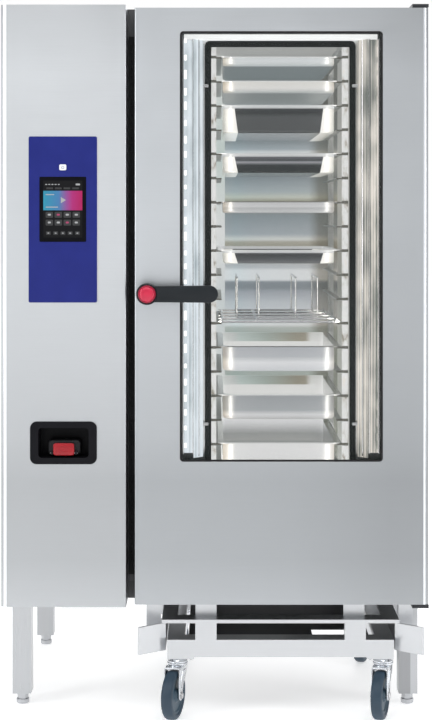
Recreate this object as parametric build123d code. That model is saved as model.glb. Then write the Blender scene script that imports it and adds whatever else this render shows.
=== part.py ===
"""Floor-standing combi steamer oven for twenty levels, with its mobile rack docked in the cooking chamber.

Frame: +Z up, front towards -Y, origin on the floor under the centre of the overall box. Millimetres.
Each function makes one sub-part and returns it as one or more closed solids.
"""

from build123d import *
import math
import os

# ---- driving dimensions of the cabinet ----
WIDTH = 1100
HALF = WIDTH / 2
Z_BODY = 300  # underside of the cabinet
Z_TOP = 1843  # top of the cabinet
Y_FACE = -389  # front face of the door and of the control column
Y_FRAME = -289  # front face of the cabinet behind the door
Y_BACK = 461
Y_REAR_PANEL = 455  # outer face of the rear panel, set in between the folded edges
SHEET = 2  # casing sheet
EDGE_R = 16  # large bend at the outer front edges

# ---- control column ----
COLUMN_RIGHT = -228
PANEL_X, PANEL_Z = -389.5, 1292.5  # centre of the operating panel
PANEL_W, PANEL_H = 175, 425
OVERLAY = 3  # thickness of what lies on the column's face
SCREEN_W, SCREEN_H, SCREEN_Z = 120, 167, 1318.5
KEY_W, KEY_H, KEY_Z = 18, 15, 1426
DOCK_X, DOCK_Z = -388, 720.5  # centre of the shower dock
DOCK_W, DOCK_H = 171, 109
TUB_W, TUB_H, TUB_DEPTH = 129, 77, 74

# ---- door ----
DOOR_X0, DOOR_X1 = -206, 548
DOOR_Z0, DOOR_Z1 = 306, 1835
DOOR_DEPTH = 88
Y_DOOR_BACK = Y_FACE + DOOR_DEPTH
XC = 170  # centre of window, rack and trolley
WINDOW_W, WINDOW_Z0, WINDOW_Z1 = 520, 672, 1775
INNER_W, INNER_Z0, INNER_Z1 = 388, 620, 1755  # outer size of the inner pane's frame
TRIM = 12  # width of that frame
HINGE_X, HINGE_Y = 530, -369
PIN_R = 6
HANDLE_X, HANDLE_Z = -172, 1104
LEVER_LENGTH, LEVER_H = 180, 43

# ---- cooking chamber ----
MOUTH_W, MOUTH_Z0, MOUTH_Z1 = 400, 345, 1775
CAVITY_X0, CAVITY_X1 = -180, 372
CAVITY_Y1 = 401
BAFFLE_X = -34
FAN_Y = 55
FAN_ZS = {"lower": 730, "upper": 1390}
FAN_R = 150
MOTOR_X0, MOTOR_X1 = -430, -250

# ---- legs ----
LEG_X, LEG_Y_FRONT, LEG_Y_REAR = 514, -199, 406
LEG = 50
FOOT_H = 30

# ---- trolley ----
BASE_W, BASE_Z0, BASE_Z1 = 588, 158, 203
BASE_Y0, BASE_Y1 = -339, 280
GUIDE_FRAME_W, GUIDE_FRAME_Z = 616, 246
GUIDE_FRAME_T = 9
RISER_X, RISER_W = 193.5, 55
LEVELS, PITCH, TOP_LEVEL_Z = 20, 64, 1722
RACK_INNER, POST = 333, 16
RACK_Y0, RACK_Y1 = -250, 300
LEDGE, LEDGE_T = 14, 3

# ---- casters ----
CASTER_X, CASTER_Y_FRONT, CASTER_Y_REAR = 268, -312, 236
WHEEL_R, WHEEL_W, TRAIL = 62.5, 30, 35
CASTER_YAW = -17  # degrees, as the trolley is left after it was pushed in
AXLE_R = 5
RUNNING = 0.08  # radial clearance of a shaft in its bore

# ---- containers, by level counted from the top ----
PAN_W, PAN_L, PAN_BODY_W, PAN_BODY_L = 325, 530, 298, 503
PAN_Y = 20
STEEL_PAN_DEPTHS = {1: 20, 2: 28, 7: 28, 13: 65, 15: 65, 17: 65}
DARK_TRAY_DEPTHS = {3: 72, 5: 50, 9: 35}
WIRE_RACK_LEVEL = 12
HOOP_H = 112  # height of the wire rack's hoops


def block(x0, x1, y0, y1, z0, z1):
    """A box between two corners."""
    return Pos((x0 + x1) / 2, (y0 + y1) / 2, (z0 + z1) / 2) * Box(x1 - x0, y1 - y0, z1 - z0)


def rod_z(x, y, z0, z1, r):
    return Pos(x, y, (z0 + z1) / 2) * Cylinder(r, z1 - z0)


def rod_y(x, z, y0, y1, r):
    return Pos(x, (y0 + y1) / 2, z) * Rot(90, 0, 0) * Cylinder(r, y1 - y0)


def rod_x(y, z, x0, x1, r):
    return Pos((x0 + x1) / 2, y, z) * Rot(0, 90, 0) * Cylinder(r, x1 - x0)


def prism_y(sketch, x, z, y0, y1):
    """A sketch drawn in the XZ plane, made solid from y0 to y1."""
    plane = Plane(origin=(x, y1, z), x_dir=(1, 0, 0), z_dir=(0, -1, 0))
    return extrude(plane * sketch, amount=y1 - y0)


def prism_z(sketch, x, y, z0, z1):
    """A sketch drawn in the XY plane, made solid from z0 to z1."""
    return extrude(Plane(origin=(x, y, z0)) * sketch, amount=z1 - z0)


def rounded_y(w, h, r, x, z, y0, y1):
    return prism_y(RectangleRounded(w, h, r), x, z, y0, y1)


def rounded_z(w, h, r, x, y, z0, z1):
    return prism_z(RectangleRounded(w, h, r), x, y, z0, z1)


def ring_y(w, h, r, rim, x, z, y0, y1):
    """A flat frame facing Y, with rounded corners."""
    inner_r = max(r - rim, 0.5)
    outer = rounded_y(w, h, r, x, z, y0, y1)
    return outer - rounded_y(w - 2 * rim, h - 2 * rim, inner_r, x, z, y0 - 1, y1 + 1)


def bent_cover(x0, x1, y0, y1, z0, z1, left_r, right_r):
    """A sheet cover open at the back, whose two upright front edges are bent to their own radius."""
    outer = block(x0, x1, y0, y1, z0, z1)
    outer = fillet(outer.edges().filter_by(Axis.Z).group_by(Axis.X)[0].sort_by(Axis.Y)[0], left_r)
    outer = fillet(outer.edges().filter_by(Axis.Z).group_by(Axis.X)[-1].sort_by(Axis.Y)[0], right_r)
    inner = block(x0 + SHEET, x1 - SHEET, y0 + SHEET, y1 + 1, z0 + SHEET, z1 - SHEET)
    inner_left_r = max(left_r - SHEET, 0.5)
    inner_right_r = max(right_r - SHEET, 0.5)
    inner = fillet(inner.edges().filter_by(Axis.Z).group_by(Axis.X)[0].sort_by(Axis.Y)[0], inner_left_r)
    inner = fillet(inner.edges().filter_by(Axis.Z).group_by(Axis.X)[-1].sort_by(Axis.Y)[0], inner_right_r)
    return outer - inner


# ---------------------------------------------------------------- cabinet


def base_frame():
    """Ring of square tube inside the foot of the cabinet, with one cross tube beside the chamber."""
    z0, z1, tube = Z_BODY + SHEET, 334, 38
    x1, y0, y1 = HALF - SHEET, Y_FRAME + SHEET, Y_REAR_PANEL - SHEET
    return [
        block(-x1, x1, y0, y0 + tube, z0, z1),
        block(-x1, x1, y1 - tube, y1, z0, z1),
        block(-x1, -x1 + tube, y0 + tube, y1 - tube, z0, z1),
        block(x1 - tube, x1, y0 + tube, y1 - tube, z0, z1),
        block(-270, -236, y0 + tube, y1 - tube, z0, z1),
    ]


def leg_tubes():
    """Four square legs with a bored plug for the foot's stud."""
    legs = []
    for x in (-LEG_X, LEG_X):
        for y in (LEG_Y_FRONT, LEG_Y_REAR):
            half, wall = LEG / 2, 3
            tube = block(x - half, x + half, y - half, y + half, FOOT_H, Z_BODY)
            hollow = half - wall
            tube -= block(x - hollow, x + hollow, y - hollow, y + hollow, FOOT_H + 12, Z_BODY - 4)
            legs.append(tube - rod_z(x, y, FOOT_H - 1, FOOT_H + 13, 8 + RUNNING))
    return legs


def foot(x, y):
    """Levelling foot: a stepped pad with a hexagon on a stud."""
    pad = rod_z(x, y, 0, 12, 17)
    neck = prism_z(RegularPolygon(15, 6), x, y, 12, FOOT_H - 1)
    stud = rod_z(x, y, FOOT_H - 1, 90, 8)
    return [chamfer((pad).edges().sort_by(Axis.Z)[0], 2) + neck + stud]


def side_panel(side):
    """Flat casing side with a folded edge at the back."""
    x_out = side * HALF
    x_in = x_out - side * SHEET
    x0, x1 = min(x_out, x_in), max(x_out, x_in)
    skin = block(x0, x1, Y_FRAME, Y_BACK, Z_BODY, Z_TOP)
    return [skin]


def rear_panel():
    """Back of the casing, with two louvred vents over the control column."""
    x1 = HALF - SHEET
    y0, y1 = Y_REAR_PANEL - SHEET, Y_REAR_PANEL
    panel = block(-x1, x1, y0, y1, Z_BODY + SHEET, Z_TOP - SHEET)
    for group_z in (560, 1560):
        for row in range(8):
            z = group_z + row * 18
            panel -= rounded_y(180, 6, 2.9, -390, z, y0 - 1, y1 + 1)
    return [panel]


def top_panel():
    x1 = HALF - SHEET
    panel = block(-x1, x1, Y_FRAME, Y_BACK, Z_TOP - SHEET, Z_TOP)
    return [panel - rod_z(VENT_X, VENT_Y, Z_TOP - 5, Z_TOP + 5, VENT_R + 1)]


def bottom_plate():
    x1 = HALF - SHEET
    plate = block(-x1, x1, Y_FRAME, Y_BACK, Z_BODY, Z_BODY + SHEET)
    return [plate - rod_z(XC, DRAIN_Y, Z_BODY - 5, Z_BODY + 5, DRAIN_R + 1)]


def front_cover():
    """Deep front cover of the control column, open at the back, cut out for the panel and the dock."""
    cover = bent_cover(-HALF, COLUMN_RIGHT, Y_FACE, Y_FRAME, Z_BODY, Z_TOP, EDGE_R, 3)
    cover -= rounded_y(PANEL_W - 12, PANEL_H - 12, 4, PANEL_X, PANEL_Z, Y_FACE - 1, Y_FACE + SHEET + 1)
    cover -= rounded_y(TUB_W + 8, TUB_H + 8, 4, DOCK_X, DOCK_Z, Y_FACE - 1, Y_FACE + SHEET + 1)
    flat = block(-HALF + EDGE_R, COLUMN_RIGHT - 3, Y_FACE - 1, Y_FACE + SHEET, Z_BODY - 1, Z_TOP + 1)
    rest = cover - flat
    top = rest & block(-HALF - 1, HALF, Y_FACE - 1, Y_FRAME + 1, Z_TOP - SHEET, Z_TOP + 1)
    bottom = rest & block(-HALF - 1, HALF, Y_FACE - 1, Y_FRAME + 1, Z_BODY - 1, Z_BODY + SHEET)
    sides = rest - top - bottom
    return [cover & flat, top, bottom, *sides.solids()]


def front_frame():
    """Cabinet front behind the door, with the chamber's mouth, and the latch keeper pin on it."""
    x1 = HALF - SHEET
    plate = block(-x1, x1, Y_FRAME, Y_FRAME + SHEET, Z_BODY + SHEET, Z_TOP - SHEET)
    mouth_h = MOUTH_Z1 - MOUTH_Z0
    plate -= rounded_y(MOUTH_W, mouth_h, 12, XC, (MOUTH_Z0 + MOUTH_Z1) / 2, Y_FRAME - 1, Y_FRAME + SHEET + 1)
    plate -= rounded_y(PANEL_W, PANEL_H, 4, PANEL_X, PANEL_Z, Y_FRAME - 1, Y_FRAME + SHEET + 1)
    plate -= rounded_y(TUB_W, TUB_H, 13, DOCK_X, DOCK_Z, Y_FRAME - 1, Y_FRAME + SHEET + 1)
    keeper = rod_y(HANDLE_X, HANDLE_Z + KEEPER_R, Y_FRAME - 10, Y_FRAME, 5)
    keeper += rod_y(HANDLE_X, HANDLE_Z + KEEPER_R, Y_FRAME - 2, Y_FRAME, 10)
    return [plate, keeper]


def gap_trim():
    """Black ventilation strip that stands in the gap between the column and the door."""
    x0, x1 = COLUMN_RIGHT + 2, DOOR_X0 - 5
    strip = block(x0, x1, Y_FRAME - 12, Y_FRAME, 365, 1770)
    for z in range(400, 1741, 20):
        strip -= block(x0 + 5, x1 - 5, Y_FRAME - 13, Y_FRAME - 6, z, z + 10)
    return [strip]


def cavity_liner():
    """Welded chamber open at the front, with drain, motor and coil holes."""
    y0, z0, z1 = Y_FRAME + SHEET, MOUTH_Z0 - 8, MOUTH_Z1 + 4
    outer = block(CAVITY_X0 - SHEET, CAVITY_X1 + SHEET, y0, CAVITY_Y1 + SHEET, z0 - SHEET, z1 + SHEET)
    outer = fillet(outer.edges().filter_by(Axis.Y), 18)
    inner = block(CAVITY_X0, CAVITY_X1, y0 - 1, CAVITY_Y1, z0, z1)
    inner = fillet(inner.edges().filter_by(Axis.Y), 16)
    liner = outer - inner
    liner -= rod_z(XC, DRAIN_Y, z0 - 5, z0 + 5, DRAIN_R)
    liner -= rod_z(VENT_X, VENT_Y, z1 - 5, z1 + 5, VENT_R)
    for z in FAN_ZS.values():
        liner -= rod_x(FAN_Y, z, CAVITY_X0 - 5, CAVITY_X0 + 5, 15)
        for y in (FAN_Y - 30, FAN_Y + 30):
            liner -= rod_x(y, z + COIL_R, CAVITY_X0 - 5, CAVITY_X0 + 5, COIL_WIRE + 1)
    liner -= rod_x(FAN_Y, INJECTOR_Z, CAVITY_X0 - 5, CAVITY_X0 + 5, 6)
    return [liner]


def insulation():
    """Mineral wool jacket round the chamber."""
    z0, z1 = Z_BODY + SHEET + 1, Z_TOP - SHEET - 12
    jacket = block(-232, 472, Y_FRAME + 42, Y_REAR_PANEL - 42, z0, z1)
    hollow_z0, hollow_z1 = MOUTH_Z0 - 8 - SHEET - 0.5, MOUTH_Z1 + 4 + SHEET + 0.5
    x0, x1 = CAVITY_X0 - SHEET - 0.5, CAVITY_X1 + SHEET + 0.5
    jacket -= block(x0, x1, Y_FRAME, CAVITY_Y1 + SHEET + 0.5, hollow_z0, hollow_z1)
    jacket -= rod_z(XC, DRAIN_Y, Z_BODY, MOUTH_Z0, DRAIN_R + 2)
    jacket -= rod_z(VENT_X, VENT_Y, MOUTH_Z1, Z_TOP, VENT_R + 2)
    for z in FAN_ZS.values():
        jacket -= rod_x(FAN_Y, z, -233, CAVITY_X0, 15)
        for y in (FAN_Y - 30, FAN_Y + 30):
            jacket -= rod_x(y, z + COIL_R, -233, CAVITY_X0, COIL_WIRE + 1)
    jacket -= rod_x(FAN_Y, INJECTOR_Z, -233, CAVITY_X0, 6)
    return [jacket]


def fan_baffle():
    """Removable air guide between the fans and the rack, on its quarter-turn studs."""
    y0, y1, z0, z1 = -240, 370, 375, 1745
    plate = block(BAFFLE_X - SHEET, BAFFLE_X, y0, y1, z0, z1)
    lip_front = block(BAFFLE_X - 22, BAFFLE_X - SHEET, y0, y0 + SHEET, z0, z1)
    lip_back = block(BAFFLE_X - 22, BAFFLE_X - SHEET, y1 - SHEET, y1, z0, z1)
    plate = plate + lip_front + lip_back
    for z in FAN_ZS.values():
        plate -= rod_x(FAN_Y, z, BAFFLE_X - 5, BAFFLE_X + 5, 92)
    studs = []
    for y in (y0 + 30, y1 - 30):
        for z in (z0 + 30, (z0 + z1) / 2, z1 - 30):
            studs.append(rod_x(y, z, CAVITY_X0, BAFFLE_X - SHEET, 6))
    guards = []
    for z in FAN_ZS.values():
        grid = rod_x(FAN_Y, z, BAFFLE_X, BAFFLE_X + 2, 30)
        for r in (55, 80, 100):
            wire = rod_x(FAN_Y, z, BAFFLE_X, BAFFLE_X + 2, r + 3)
            grid += wire - rod_x(FAN_Y, z, BAFFLE_X - 1, BAFFLE_X + 3, r)
        for angle in (0, 60, 120):
            spoke = Pos(BAFFLE_X + 1, FAN_Y, z) * Rot(angle, 0, 0) * Box(2, 206, 4)
            grid += spoke
        guards.append(grid)
    return [plate, *studs, *guards]


def door_seal():
    """Gasket on the cabinet front: an arch whose open foot the trolley's sill closes."""
    outer_w, rim, foot_z = 444, 17, 373
    top_z = MOUTH_Z1 + 22
    y0, y1, half = Y_FRAME - 11, Y_FRAME, outer_w / 2
    left = block(XC - half, XC - half + rim, y0, y1, foot_z, top_z - rim)
    right = block(XC + half - rim, XC + half, y0, y1, foot_z, top_z - rim)
    bow = block(XC - half, XC + half, y0, y1, top_z - rim, top_z)
    bow = fillet(bow.edges().filter_by(Axis.Y).sort_by(Axis.Z)[-2:], 14)
    return [left, right, bow]


# ---------------------------------------------------------------- fans, heat, water

COIL_R, COIL_WIRE = 172, 6
INJECTOR_Z = 1060
DRAIN_Y, DRAIN_R = 60, 25
VENT_X, VENT_Y, VENT_R = -90, 330, 30
KEEPER_R = 30


def fan_motors():
    """Two motors on flange plates beside the insulation."""
    motors = []
    for z in FAN_ZS.values():
        body = rod_x(FAN_Y, z, MOTOR_X0, MOTOR_X1, 70)
        body += rod_x(FAN_Y, z, MOTOR_X1, -236, 40)
        body += block(-236, -233, FAN_Y - 110, FAN_Y + 110, z - 110, z + 110)
        fins = [
            rod_x(FAN_Y, z, x, x + 4, 78) for x in range(MOTOR_X0 + 20, MOTOR_X1 - 20, 14)
        ]
        for fin in fins:
            body += fin
        body -= rod_x(FAN_Y, z, -300, -232, 9 + RUNNING)
        motors.append(body)
    return motors


def fan_wheel(z):
    """Radial wheel: back disc, hub, twelve blades and a front ring, on its own shaft."""
    back, front = -172, -108
    wheel = rod_x(FAN_Y, z, back, back + 3, FAN_R) + rod_x(FAN_Y, z, back + 3, -130, 26)
    ring = rod_x(FAN_Y, z, front - 3, front, FAN_R) - rod_x(FAN_Y, z, front - 4, front + 1, FAN_R - 45)
    wheel += ring
    for i in range(12):
        blade = Box(front - back - 4, 3, 42)
        place = Pos((front + back) / 2, FAN_Y, z) * Rot(i * 30, 0, 0) * Pos(0, 0, FAN_R - 23)
        wheel += place * Rot(25, 0, 0) * blade
    wheel -= rod_x(FAN_Y, z, back - 1, -129, 9)
    shaft = rod_x(FAN_Y, z, -298, -122, 9)
    return [wheel, shaft]


def heating_coils():
    """Three heater rings round each fan, with their terminals through the chamber wall."""
    coils = []
    for z in FAN_ZS.values():
        for x in (-160, -140, -120):
            ring = Pos(x, FAN_Y, z) * Rot(0, 90, 0) * Torus(COIL_R, COIL_WIRE)
            coils.append(ring)
        for y in (FAN_Y - 30, FAN_Y + 30):
            coils.append(rod_x(y, z + COIL_R, -215, -168, 5))
    return coils


def steam_injector():
    """Water pipe with a nozzle over each fan hub."""
    x = -86
    pipe = rod_z(x, FAN_Y, FAN_ZS["lower"] - 5, FAN_ZS["upper"] + 5, 5)
    for z in FAN_ZS.values():
        pipe += rod_x(FAN_Y, z, x - 16, x, 3)
    pipe += rod_x(FAN_Y, INJECTOR_Z, -240, x, 5)
    return [pipe]


def drain_box():
    """Drain stub from the chamber, a covered channel and the box with the pipe for the drain hose."""
    z_floor = MOUTH_Z0 - 8
    stub = rod_z(XC, DRAIN_Y, 283, z_floor + 0, DRAIN_R) - rod_z(XC, DRAIN_Y, 282, z_floor + 1, DRAIN_R - 2)
    channel = block(-250, XC + 35, DRAIN_Y - 35, DRAIN_Y + 35, 263, 283)
    box = block(-430, -250, DRAIN_Y - 60, DRAIN_Y + 160, 200, Z_BODY)
    outlet = rod_y(DRAIN_OUT_X, 240, DRAIN_Y + 160, DRAIN_OUT_Y, DRAIN_R)
    outlet -= rod_y(DRAIN_OUT_X, 240, DRAIN_Y + 161, DRAIN_OUT_Y + 1, DRAIN_R - 3)
    return [stub, channel, box, outlet]


DRAIN_OUT_X, DRAIN_OUT_Y = -290, 440


def vent_pipe():
    """Steam outlet through the top, with its collar."""
    pipe = rod_z(VENT_X, VENT_Y, MOUTH_Z1 + 4, Z_TOP + 27, VENT_R)
    pipe += rod_z(VENT_X, VENT_Y, Z_TOP, Z_TOP + 2, VENT_R + 14)
    return [pipe - rod_z(VENT_X, VENT_Y, MOUTH_Z1, Z_TOP + 28, VENT_R - 2)]


def service_fittings():
    """Water inlet nipples and the mains cable gland on a plate under the back edge."""
    plate_y = 420
    plate = block(-480, -370, plate_y, plate_y + 4, 215, Z_BODY)
    fittings = []
    for x in (-460, -420):
        nut = prism_y(RegularPolygon(18, 6), x, 262, plate_y + 4, plate_y + 14)
        nipple = rod_y(x, 262, plate_y + 14, WATER_Y, WATER_R)
        fittings.append(nut + nipple - rod_y(x, 262, plate_y + 5, WATER_Y + 1, 9))
    gland = prism_y(RegularPolygon(17, 6), -388, 236, plate_y + 4, plate_y + 12)
    gland += rod_y(-388, 236, plate_y + 12, plate_y + 30, 14)
    plate -= rod_y(-388, 236, plate_y - 1, plate_y + 5, GLAND_R)
    fittings.append(gland - rod_y(-388, 236, plate_y + 3, plate_y + 31, GLAND_R))
    return [plate, *fittings]


WATER_Y, WATER_R, GLAND_R = 455, 13, 9


# ---------------------------------------------------------------- control column fittings


def control_panel():
    """Coloured operating panel laid on the column, open for the screen and the key."""
    plate = rounded_y(PANEL_W, PANEL_H, 4, PANEL_X, PANEL_Z, Y_FACE - OVERLAY, Y_FACE)
    plate -= rounded_y(SCREEN_W, SCREEN_H, 3, PANEL_X, SCREEN_Z, Y_FACE - OVERLAY - 1, Y_FACE + 1)
    plate -= rounded_y(KEY_W + 0.8, KEY_H + 0.8, 4, PANEL_X, KEY_Z, Y_FACE - OVERLAY - 1, Y_FACE + 1)
    return [plate]


def touch_display():
    """Screen glass in the panel with its module behind."""
    glass = rounded_y(SCREEN_W - 0.4, SCREEN_H - 0.4, 2.8, PANEL_X, SCREEN_Z, Y_FACE - OVERLAY + 0.4, Y_FACE)
    module = block(PANEL_X - 66, PANEL_X + 66, Y_FACE, Y_FACE + 14, SCREEN_Z - 90, SCREEN_Z + 90)
    return [glass, module]


def power_key():
    """Key cap with its plunger."""
    cap = rounded_y(KEY_W, KEY_H, 3.6, PANEL_X, KEY_Z, Y_FACE - OVERLAY - 1.5, Y_FACE + 3)
    return [cap + rod_y(PANEL_X, KEY_Z, Y_FACE + 3, Y_FACE + 9, 3)]


def electrical_tray():
    """Control board behind the panel, and the power tray with its contactors on the cabinet side."""
    board = block(PANEL_X - 60, PANEL_X + 60, Y_FACE + 40, Y_FACE + 42, PANEL_Z - 190, PANEL_Z + 60)
    pieces = [board]
    for z in (PANEL_Z - 160, PANEL_Z - 100, PANEL_Z - 40):
        pieces.append(block(PANEL_X - 40, PANEL_X + 10, Y_FACE + 42, Y_FACE + 60, z, z + 35))
    tray = block(-545, -543, -200, 330, 860, 1500)
    pieces.append(tray)
    for row in range(3):
        for col in range(6):
            y, z = -170 + col * 80, 930 + row * 180
            pieces.append(block(-543, -490, y, y + 56, z, z + 84))
    return pieces


def shower_dock():
    """Black recess with a rounded rim and a hose hole in its floor."""
    rim = rounded_y(DOCK_W, DOCK_H, 17, DOCK_X, DOCK_Z, Y_FACE - OVERLAY, Y_FACE)
    rim -= rounded_y(TUB_W, TUB_H, 10, DOCK_X, DOCK_Z, Y_FACE - OVERLAY - 1, Y_FACE + 1)
    half_w, half_h, wall = TUB_W / 2, TUB_H / 2, 2.5
    y0, y1, y2 = Y_FACE, Y_FACE + TUB_DEPTH - 3, Y_FACE + TUB_DEPTH
    pieces = [rim]
    for side in (-1, 1):
        z0, z1 = sorted((DOCK_Z + side * half_h, DOCK_Z + side * (half_h + wall)))
        pieces.append(block(DOCK_X - half_w - wall, DOCK_X + half_w + wall, y0, y1, z0, z1))
        x0, x1 = sorted((DOCK_X + side * half_w, DOCK_X + side * (half_w + wall)))
        pieces.append(block(x0, x1, y0, y1, DOCK_Z - half_h, DOCK_Z + half_h))
    outer_w, outer_h = half_w + wall, half_h + wall
    back = block(DOCK_X - outer_w, DOCK_X + outer_w, y1, y2, DOCK_Z - outer_h, DOCK_Z + outer_h)
    pieces.append(back - rod_y(DOCK_X, SHOWER_Z, y1 - 1, y2 + 1, 17))
    return pieces


SHOWER_Z = 705
TRIGGER_PIVOT = (-374.5, 692)


def hand_shower():
    """Spray head with a neck for the hose, two ears and the trigger's pin."""
    head = rounded_y(84, 38, 9, DOCK_X, SHOWER_Z, -366, -332)
    head += rod_y(DOCK_X, SHOWER_Z, -332, -300, 14)
    y, z = TRIGGER_PIVOT
    for side in (-1, 1):
        x = DOCK_X + side * 31
        ear = block(x - 3, x + 3, y - 3.5, -365, z - 4, z + 4)
        head += ear
    pin = rod_x(y, z, DOCK_X - 34, DOCK_X + 34, 2)
    head -= rod_x(y, z, DOCK_X - 34, DOCK_X + 34, 2)
    return [head, pin]


def shower_trigger():
    """Red thumb lever that turns on the pin."""
    y, z = TRIGGER_PIVOT
    pad = rounded_y(54, 32, 6, DOCK_X, 703, -386, -378)
    barrel = rod_x(y, z, DOCK_X - 27, DOCK_X + 27, 4)
    lever = pad + barrel
    return [lever - rod_x(y, z, DOCK_X - 28, DOCK_X + 28, 2 + RUNNING)]


REEL_Y, REEL_Z, REEL_R = 20, 560, 130


def hose_reel_bracket():
    plate = block(-545, -541, REEL_Y - 60, REEL_Y + 60, REEL_Z - 100, REEL_Z + 100)
    axle = rod_x(REEL_Y, REEL_Z, -541, -470, 8)
    stop = rod_x(REEL_Y, REEL_Z, -470, -466, 14)
    return [plate + axle + stop]


def hose_reel_drum():
    """Spool for the shower hose, running on the bracket's axle."""
    drum = rod_x(REEL_Y, REEL_Z, -530, -527, REEL_R) + rod_x(REEL_Y, REEL_Z, -475, -472, REEL_R)
    drum += rod_x(REEL_Y, REEL_Z, -527, -475, 60)
    for i in range(6):
        spot = Pos(0, REEL_Y, REEL_Z) * Rot(i * 60, 0, 0) * Pos(0, 0, 95)
        drum -= spot * Pos(-500, 0, 0) * Rot(0, 90, 0) * Cylinder(20, 80)
    return [drum - rod_x(REEL_Y, REEL_Z, -531, -471, 8 + RUNNING)]


# ---------------------------------------------------------------- door


def hinge_brackets():
    """Plates that carry the door's top and bottom pins."""
    brackets = []
    for low in (True, False):
        z0, z1 = (296, 304) if low else (1837, 1845)
        arm = block(506, 548, Y_FACE + 4, Y_FRAME, z0, z1)
        foot_z0, foot_z1 = (Z_BODY + 4, 372) if low else (1770, 1837)
        web = block(506, 548, Y_FRAME - 6, Y_FRAME, foot_z0, foot_z1)
        pin_z0, pin_z1 = (304, 344) if low else (1797, 1837)
        brackets += [arm, web, rod_z(HINGE_X, HINGE_Y, pin_z0, pin_z1, PIN_R)]
    return brackets


def hinge_blocks():
    """Bored blocks inside the door's hinge edge that turn on the pins."""
    blocks = []
    for z0, z1 in ((DOOR_Z0 + SHEET, 350), (1791, DOOR_Z1 - SHEET)):
        body = block(HINGE_X - 22, HINGE_X + 11, Y_FACE + 9, Y_FACE + 55, z0, z1)
        blocks.append(body - rod_z(HINGE_X, HINGE_Y, z0 - 1, z1 + 1, PIN_R + RUNNING))
    return blocks


def door_outer_panel():
    """Deep front skin of the door with its window and the holes for pins and spindle."""
    skin = bent_cover(DOOR_X0, DOOR_X1, Y_FACE, Y_DOOR_BACK - SHEET, DOOR_Z0, DOOR_Z1, 4, EDGE_R)
    window_h = WINDOW_Z1 - WINDOW_Z0
    window_z = (WINDOW_Z0 + WINDOW_Z1) / 2
    skin -= rounded_y(WINDOW_W, window_h, 9, XC, window_z, Y_FACE - 1, Y_FACE + SHEET + 1)
    for z in (DOOR_Z0, DOOR_Z1):
        skin -= rod_z(HINGE_X, HINGE_Y, z - 5, z + 5, PIN_R + 1)
    return [skin - rod_y(HANDLE_X, HANDLE_Z, Y_FACE - 1, Y_FACE + 5, 9)]


def door_inner_panel():
    """Inner skin with the opening for the inner pane and a return round the light space."""
    x0, x1 = DOOR_X0 + 1, DOOR_X1 - 1
    plate = block(x0, x1, Y_DOOR_BACK - SHEET, Y_DOOR_BACK, DOOR_Z0 + 1, DOOR_Z1 - 1)
    plate = fillet(plate.edges().filter_by(Axis.Y), 3)
    inner_h, inner_z = INNER_Z1 - INNER_Z0, (INNER_Z0 + INNER_Z1) / 2
    plate -= rounded_y(INNER_W + 0.6, inner_h + 0.6, 4, XC, inner_z, Y_DOOR_BACK - 5, Y_DOOR_BACK + 1)
    half, wall, box_z0, box_z1 = 280, 1.5, 600, 1800
    tunnel = block(XC - half, XC + half, Y_FACE + 9, Y_DOOR_BACK - SHEET, box_z0, box_z1)
    tunnel -= block(XC - half + wall, XC + half - wall, Y_FACE + 8, Y_DOOR_BACK, box_z0 + wall, box_z1 - wall)
    panel = plate + tunnel
    return [panel - rod_y(HANDLE_X, HANDLE_Z, Y_DOOR_BACK - 5, Y_DOOR_BACK + 1, 9)]


def door_glass():
    """Outer pane behind the window and inner pane in its frame."""
    window_z = (WINDOW_Z0 + WINDOW_Z1) / 2
    outer = block(XC - 277, XC + 277, Y_FACE + SHEET + 0.5, Y_FACE + SHEET + 5.5, 603, 1797)
    inner_h, inner_z = INNER_Z1 - INNER_Z0, (INNER_Z0 + INNER_Z1) / 2
    inner = rounded_y(INNER_W - 8, inner_h - 8, 2, XC, inner_z, INNER_PANE_Y, INNER_PANE_Y + 5)
    return [outer, inner]


INNER_PANE_Y = -314


def glass_seals():
    """Black gasket round the window, and the black frame that holds the inner pane."""
    window_h, window_z = WINDOW_Z1 - WINDOW_Z0, (WINDOW_Z0 + WINDOW_Z1) / 2
    gasket = ring_y(WINDOW_W, window_h, 9, 5, XC, window_z, Y_FACE, Y_FACE + SHEET + 0.5)
    inner_h, inner_z = INNER_Z1 - INNER_Z0, (INNER_Z0 + INNER_Z1) / 2
    frame = ring_y(INNER_W, inner_h, 4, TRIM, XC, inner_z, INNER_PANE_Y - 6, Y_DOOR_BACK)
    frame -= rounded_y(INNER_W - 8, inner_h - 8, 2, XC, inner_z, INNER_PANE_Y, INNER_PANE_Y + 5)
    return [gasket, frame]


def light_bars():
    """Two upright light profiles in the door, each a channel with a clear cover strip."""
    pieces = []
    for side in (-1, 1):
        x = XC + side * 239
        channel = block(x - 13, x + 13, -372, -352, 690, 1757)
        channel -= block(x - 11, x + 11, -374, -355, 692, 1755)
        lens = block(x - 11, x + 11, -370, -366, 692, 1755)
        clips = [block(x - 13, x + 13, -352, Y_DOOR_BACK - SHEET, z, z + 20) for z in (760, 1210, 1660)]
        pieces += [channel, lens, *clips]
    return pieces


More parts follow.
